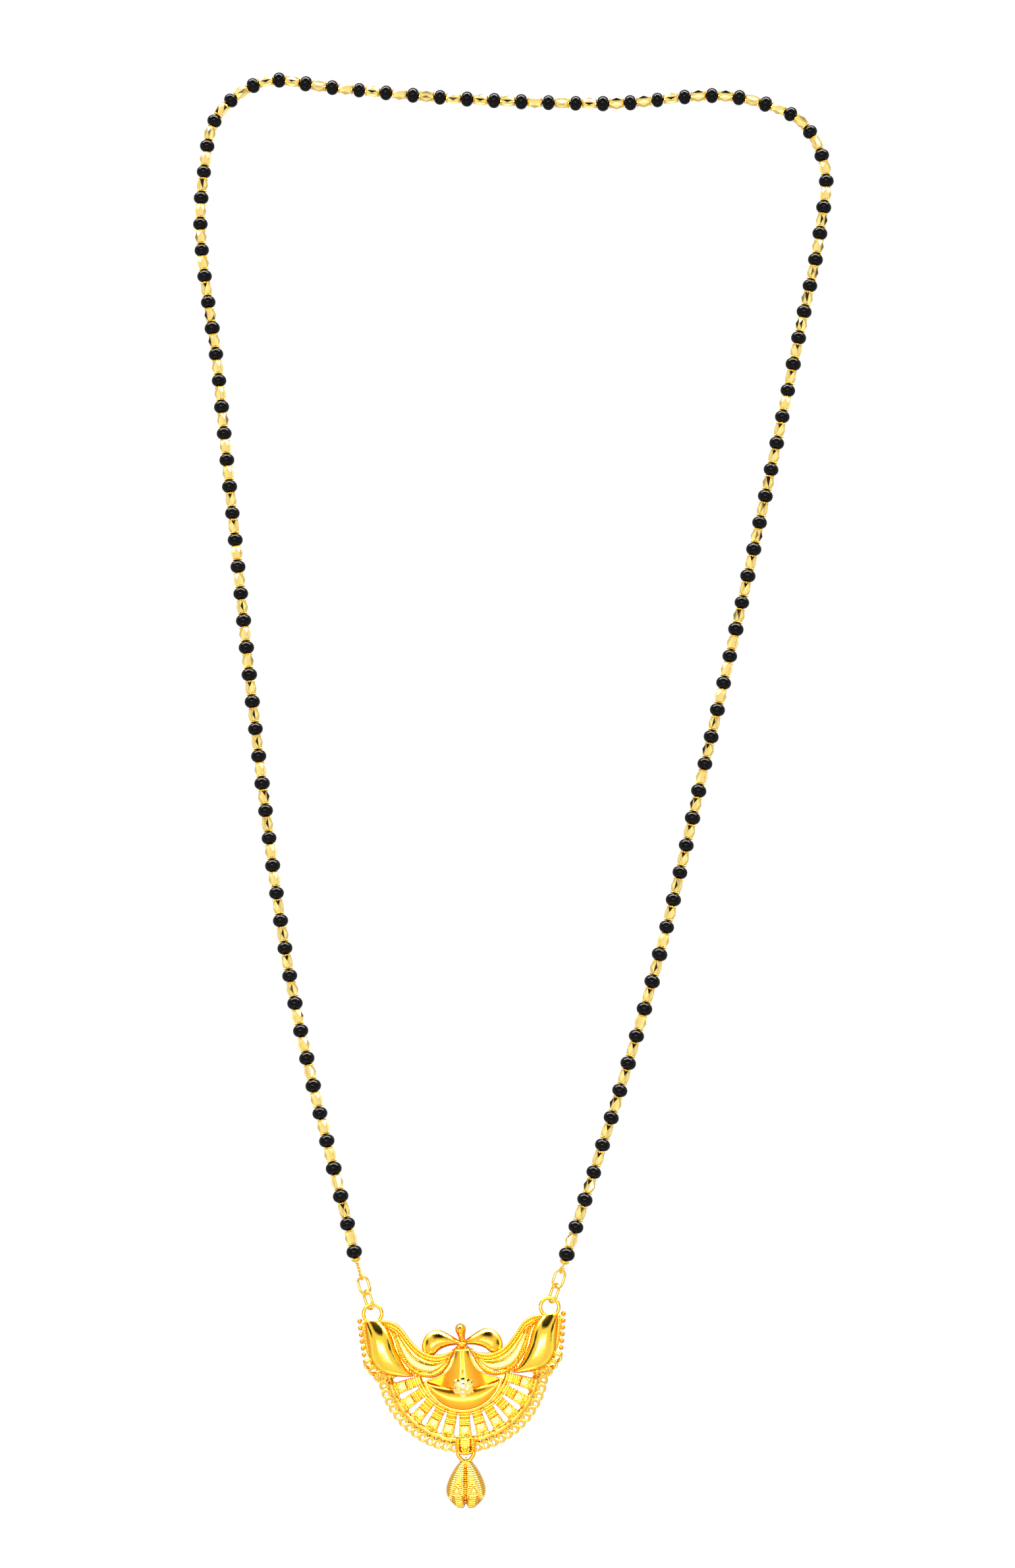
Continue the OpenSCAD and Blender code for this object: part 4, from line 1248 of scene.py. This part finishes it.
# %% [markdown]
# ## The looped border
# Small rings lie side by side round the fan like overlapping coins, each with a hole set off its
# middle. They tilt a little, so that each edge laps over the next. Towards the horns they tilt
# more, stand higher and grow a little larger.

# %% Border
# Degrees round the fan and distance out from its edge.
BORDER = [[5.6, 0.96], [76, 0.9], [81, 1.05], [85, 1.85], [89, 2.7], [93, 3.6], [96.5, 4.3]]
LOOP_PITCH = 1.62
border = np.array([((FAN_R + d) * math.sin(math.radians(a)), -(FAN_R + d) * math.cos(math.radians(a)), 0.62)
                   for a, d in smooth(BORDER, 12)])
reach = distance_along(border)
marks = np.arange(LOOP_PITCH / 2, reach[-1], LOOP_PITCH)
loop_at = np.stack([np.interp(marks, reach, border[:, k]) for k in range(3)], 1)


def loop_part():
    """A round coin with a smaller hole set off its middle towards the outside."""
    verts = []
    for a in turns(20):
        hole = np.array([0.2 + 0.42 * math.cos(a), 0.31 * math.sin(a)])
        outside = np.array([1.12 * math.cos(a), 1.1 * math.sin(a)])
        mid, half = (hole + outside) / 2, (outside - hole) / 2
        for b in turns(8):
            flat = np.sign(math.cos(b)) * abs(math.cos(b)) ** 0.6
            rise = np.sign(math.sin(b)) * abs(math.sin(b)) ** 0.75
            verts.append((*(mid + half * flat), 0.32 * rise))
    return verts, skin(20, 8, "joined")


for side, word in ((-1, "left"), (1, "right")):
    spots = loop_at * [side, 1, 1]
    count = len(spots)
    ahead = unit(np.gradient(spots, axis=0))
    upper = held((np.arange(count) - 11) / 5)
    tilt = 0.2 + 0.6 * upper
    spots = spots + np.outer(upper, [0, 0, 0.42])
    axes = leaned([(-a[0] * t, -a[1] * t, 1) for a, t in zip(ahead, tilt)])
    rolls = [math.atan2(p[1], p[0]) + LEAN for p in spots]
    sizes = 1.0 + 0.08 * held((np.arange(count) - 12) / 5)
    scatter("border_loops_" + word, loop_part(), on_pendant(spots), axes, LOOP,
            ("pendant",), rolls=rolls, sizes=sizes, sharp=60)

# %% [markdown]
# ## Edge beads
# A line of granules climbs the outer edge of each horn.

# %% Edge beads
GRANULE_R = 0.52
granules = []
for side in (-1, 1):
    for k in range(7):
        granules.append((side * (SPAN / 2 + 0.2 - 0.08 * k - 0.012 * k * k), RISE - 0.05 - 1.33 * k, 0.85))
scatter("edge_beads", ball((0, 0, 0), [GRANULE_R] * 3, 6, 10), on_pendant(granules), (0, 0, 1), POLISHED,
        ("pendant",))

# %% [markdown]
# ## The boss
# At the foot of the fan a small boss holds the ring of the drop. It is two short ribbed rolls with
# four curved ridges between them, a bright round eye below those and a rounded lip.

# %% Boss
def ribbed_roll(side):
    rows = []
    for t in np.linspace(0, 1, 90):
        y = -(FAN_R - 0.9) - 2.75 * t
        w = 0.55 + 0.12 * math.sin(math.pi * t)
        crown = 2.4 * (0.8 + 0.2 * math.sin(math.pi * min(t * 1.2, 1))) - 0.4 * wave(t * 7)
        rows.append((side * (1.35 + 0.14 * math.sin(math.pi * t)), y, w, 0.8, crown))
    return swept(rows, 10)


boss_parts = [ribbed_roll(-1), ribbed_roll(1)]
for k in range(4):
    bend = [(0.95 * math.sin(a), -(FAN_R - 0.75) - 0.42 * k - 0.28 * math.cos(a), 1.55 + 0.12 * k)
            for a in np.linspace(-1.4, 1.4, 14)]
    boss_parts.append(wire(bend, 0.24, 10))
saddle = [(0, -(FAN_R - 0.9) - 2.5 * t, 0.85, 0.8, 1.45) for t in np.linspace(0, 1, 12)]
boss_parts.append(swept(saddle, 8))
pendant_piece("boss_rolls", joined(boss_parts), CAST, 60)
eye_y = -(FAN_R + 1.35)
eye_parts = [ball((0, eye_y, 1.75), (0.62, 0.58, 0.75), 10, 20)]
eye_ring = [(0.72 * math.cos(a), eye_y + 0.68 * math.sin(a), 1.7) for a in turns(24)]
eye_parts.append(wire(eye_ring, 0.16, 8, True))
lip = [(1.55 * math.sin(a), eye_y - 0.25 - 0.55 * math.cos(a), 1.15) for a in np.linspace(-1.35, 1.35, 18)]
eye_parts.append(wire(lip, 0.34, 10))
pendant_piece("boss_eye", joined(eye_parts), POLISHED, 60)

# %% [markdown]
# ## The drop's ring
# A ring of wire, drawn to a blunt point where the drop hangs in it.

# %% Drop ring
BAIL_AT = FAN_R + 2.1
BAIL_D, BAIL_WIRE, BAIL_Z = 3.2, 0.7, 1.0
shield = []
for a in turns(48):
    x, y = math.sin(a), math.cos(a)
    pinch = 1 - 0.3 * max(-y, 0) ** 1.5 * (1 - max(-y, 0) ** 4)
    shield.append((BAIL_D / 2 * x * pinch, -BAIL_AT + BAIL_D / 2 * y, BAIL_Z))
verts, faces = wire(shield, BAIL_WIRE / 2, 14, True)
as_piece(mesh_of("drop_ring_wire", on_pendant(verts), faces), POLISHED, ("drop_ring",))

# %% [markdown]
# ## The drop
# The drop is a full, two-lobed form, ribbed across like a shell. The ribs dip towards a seam of
# small beads down its middle, and two smooth almond shapes are pressed into it.

# %% Drop
DROP_W, DROP_H, DROP_T = 7.8, 9.2, 3.53
# Share of the drop's length, of its width and of its thickness.
DROP = [
    [0, 0.3, 0.55], [0.05, 0.4, 0.7], [0.12, 0.53, 0.8], [0.2, 0.65, 0.88], [0.3, 0.78, 0.94],
    [0.4, 0.88, 0.98], [0.55, 0.985, 1], [0.66, 1, 1], [0.75, 0.97, 0.96], [0.84, 0.91, 0.86],
    [0.92, 0.81, 0.72], [0.97, 0.7, 0.56], [1, 0.58, 0.4],
]
RIBS = 22
# The almonds' lowest and highest y, how far aside they lie, their half width and their edge's width.
ALMOND_LOW, ALMOND_HIGH, ALMOND_X, ALMOND_W, ALMOND_EDGE = -6.95, -4.7, 1.66, 0.84, 0.16
drop_at = on_pendant([(0, -BAIL_AT - BAIL_D / 2, 0)])[0]


def drop_body():
    lengthwise, widths, heights = np.array(DROP).T
    v = np.linspace(0, 1, 231)
    wide = np.interp(v, lengthwise, widths) * DROP_W / 2
    thick = np.interp(v, lengthwise, heights) * DROP_T
    wide, thick = [np.convolve(np.pad(row, 4, mode="edge"), np.ones(9) / 9, "valid")[:, None]
                   for row in (wide, thick)]
    v = v[:, None]
    u = np.sin(np.linspace(-math.pi / 2, math.pi / 2, 85))
    notch = 0.1 * hump(u, 0.16) + 0.12 * np.abs(u) ** 5
    flank = held((np.abs(u) - 0.5) / 0.5)
    lobe = 1 - 0.4 * flank ** 2.0 - 0.05 * (np.abs(u) - 0.3) ** 2
    groove = 1 - 0.16 * hump(u, 0.12)
    dip = 0.05 * flank + 0.02 * hump(u, 0.16)
    rib = wave(RIBS * (v + dip * (1 - 0.4 * v))) ** 3
    x = u * (wide - 0.12 * rib)
    y = -DROP_H * v * (1 - notch * v ** 2)
    upright = held((y - ALMOND_LOW) / (ALMOND_HIGH - ALMOND_LOW))
    room = ALMOND_W * held(upright * 6) ** 0.5 * (1 - upright ** 1.8) + 0.001
    aside = (np.abs(np.abs(x) - ALMOND_X) - room) / ALMOND_EDGE
    inside = held(-aside) * (y > ALMOND_LOW) * (y < ALMOND_HIGH)
    outline = hump(aside, 1) * (y > ALMOND_LOW - 0.1) * (y < ALMOND_HIGH + 0.1)
    z = thick * lobe * groove - 0.36 * rib * (1 - inside) * (1 - outline) - 0.22 * inside + 0.12 * outline
    verts, faces = slab(np.dstack([x, y]), np.maximum(z, 0.3), 0.0)
    return verts + [drop_at[0], drop_at[1], 0], faces


verts, faces = drop_body()
as_piece(mesh_of("ribbed_drop", verts, faces, 80), SHELL, ("drop",))

seam_z = [DROP_T * (0.62 + 0.16 * math.sin(math.pi * (k + 3) / 18)) for k in range(14)]
seam = [(drop_at[0], drop_at[1] - DROP_H * (0.13 + 0.72 * k / 13), z) for k, z in enumerate(seam_z)]
seam_bead = ball((0, 0, 0), (0.27, 0.22, 0.27), 5, 8)
scatter("drop_seam", seam_bead, seam, (0, 0, 1), POLISHED, ("drop",))
hook = [(drop_at[0], drop_at[1] + 0.65 * math.cos(a), BAIL_Z + 0.65 * math.sin(a)) for a in turns(24)]
as_piece(mesh_of("drop_loop", *wire(hook, 0.18, 10, True)), WIRE, ("drop",))
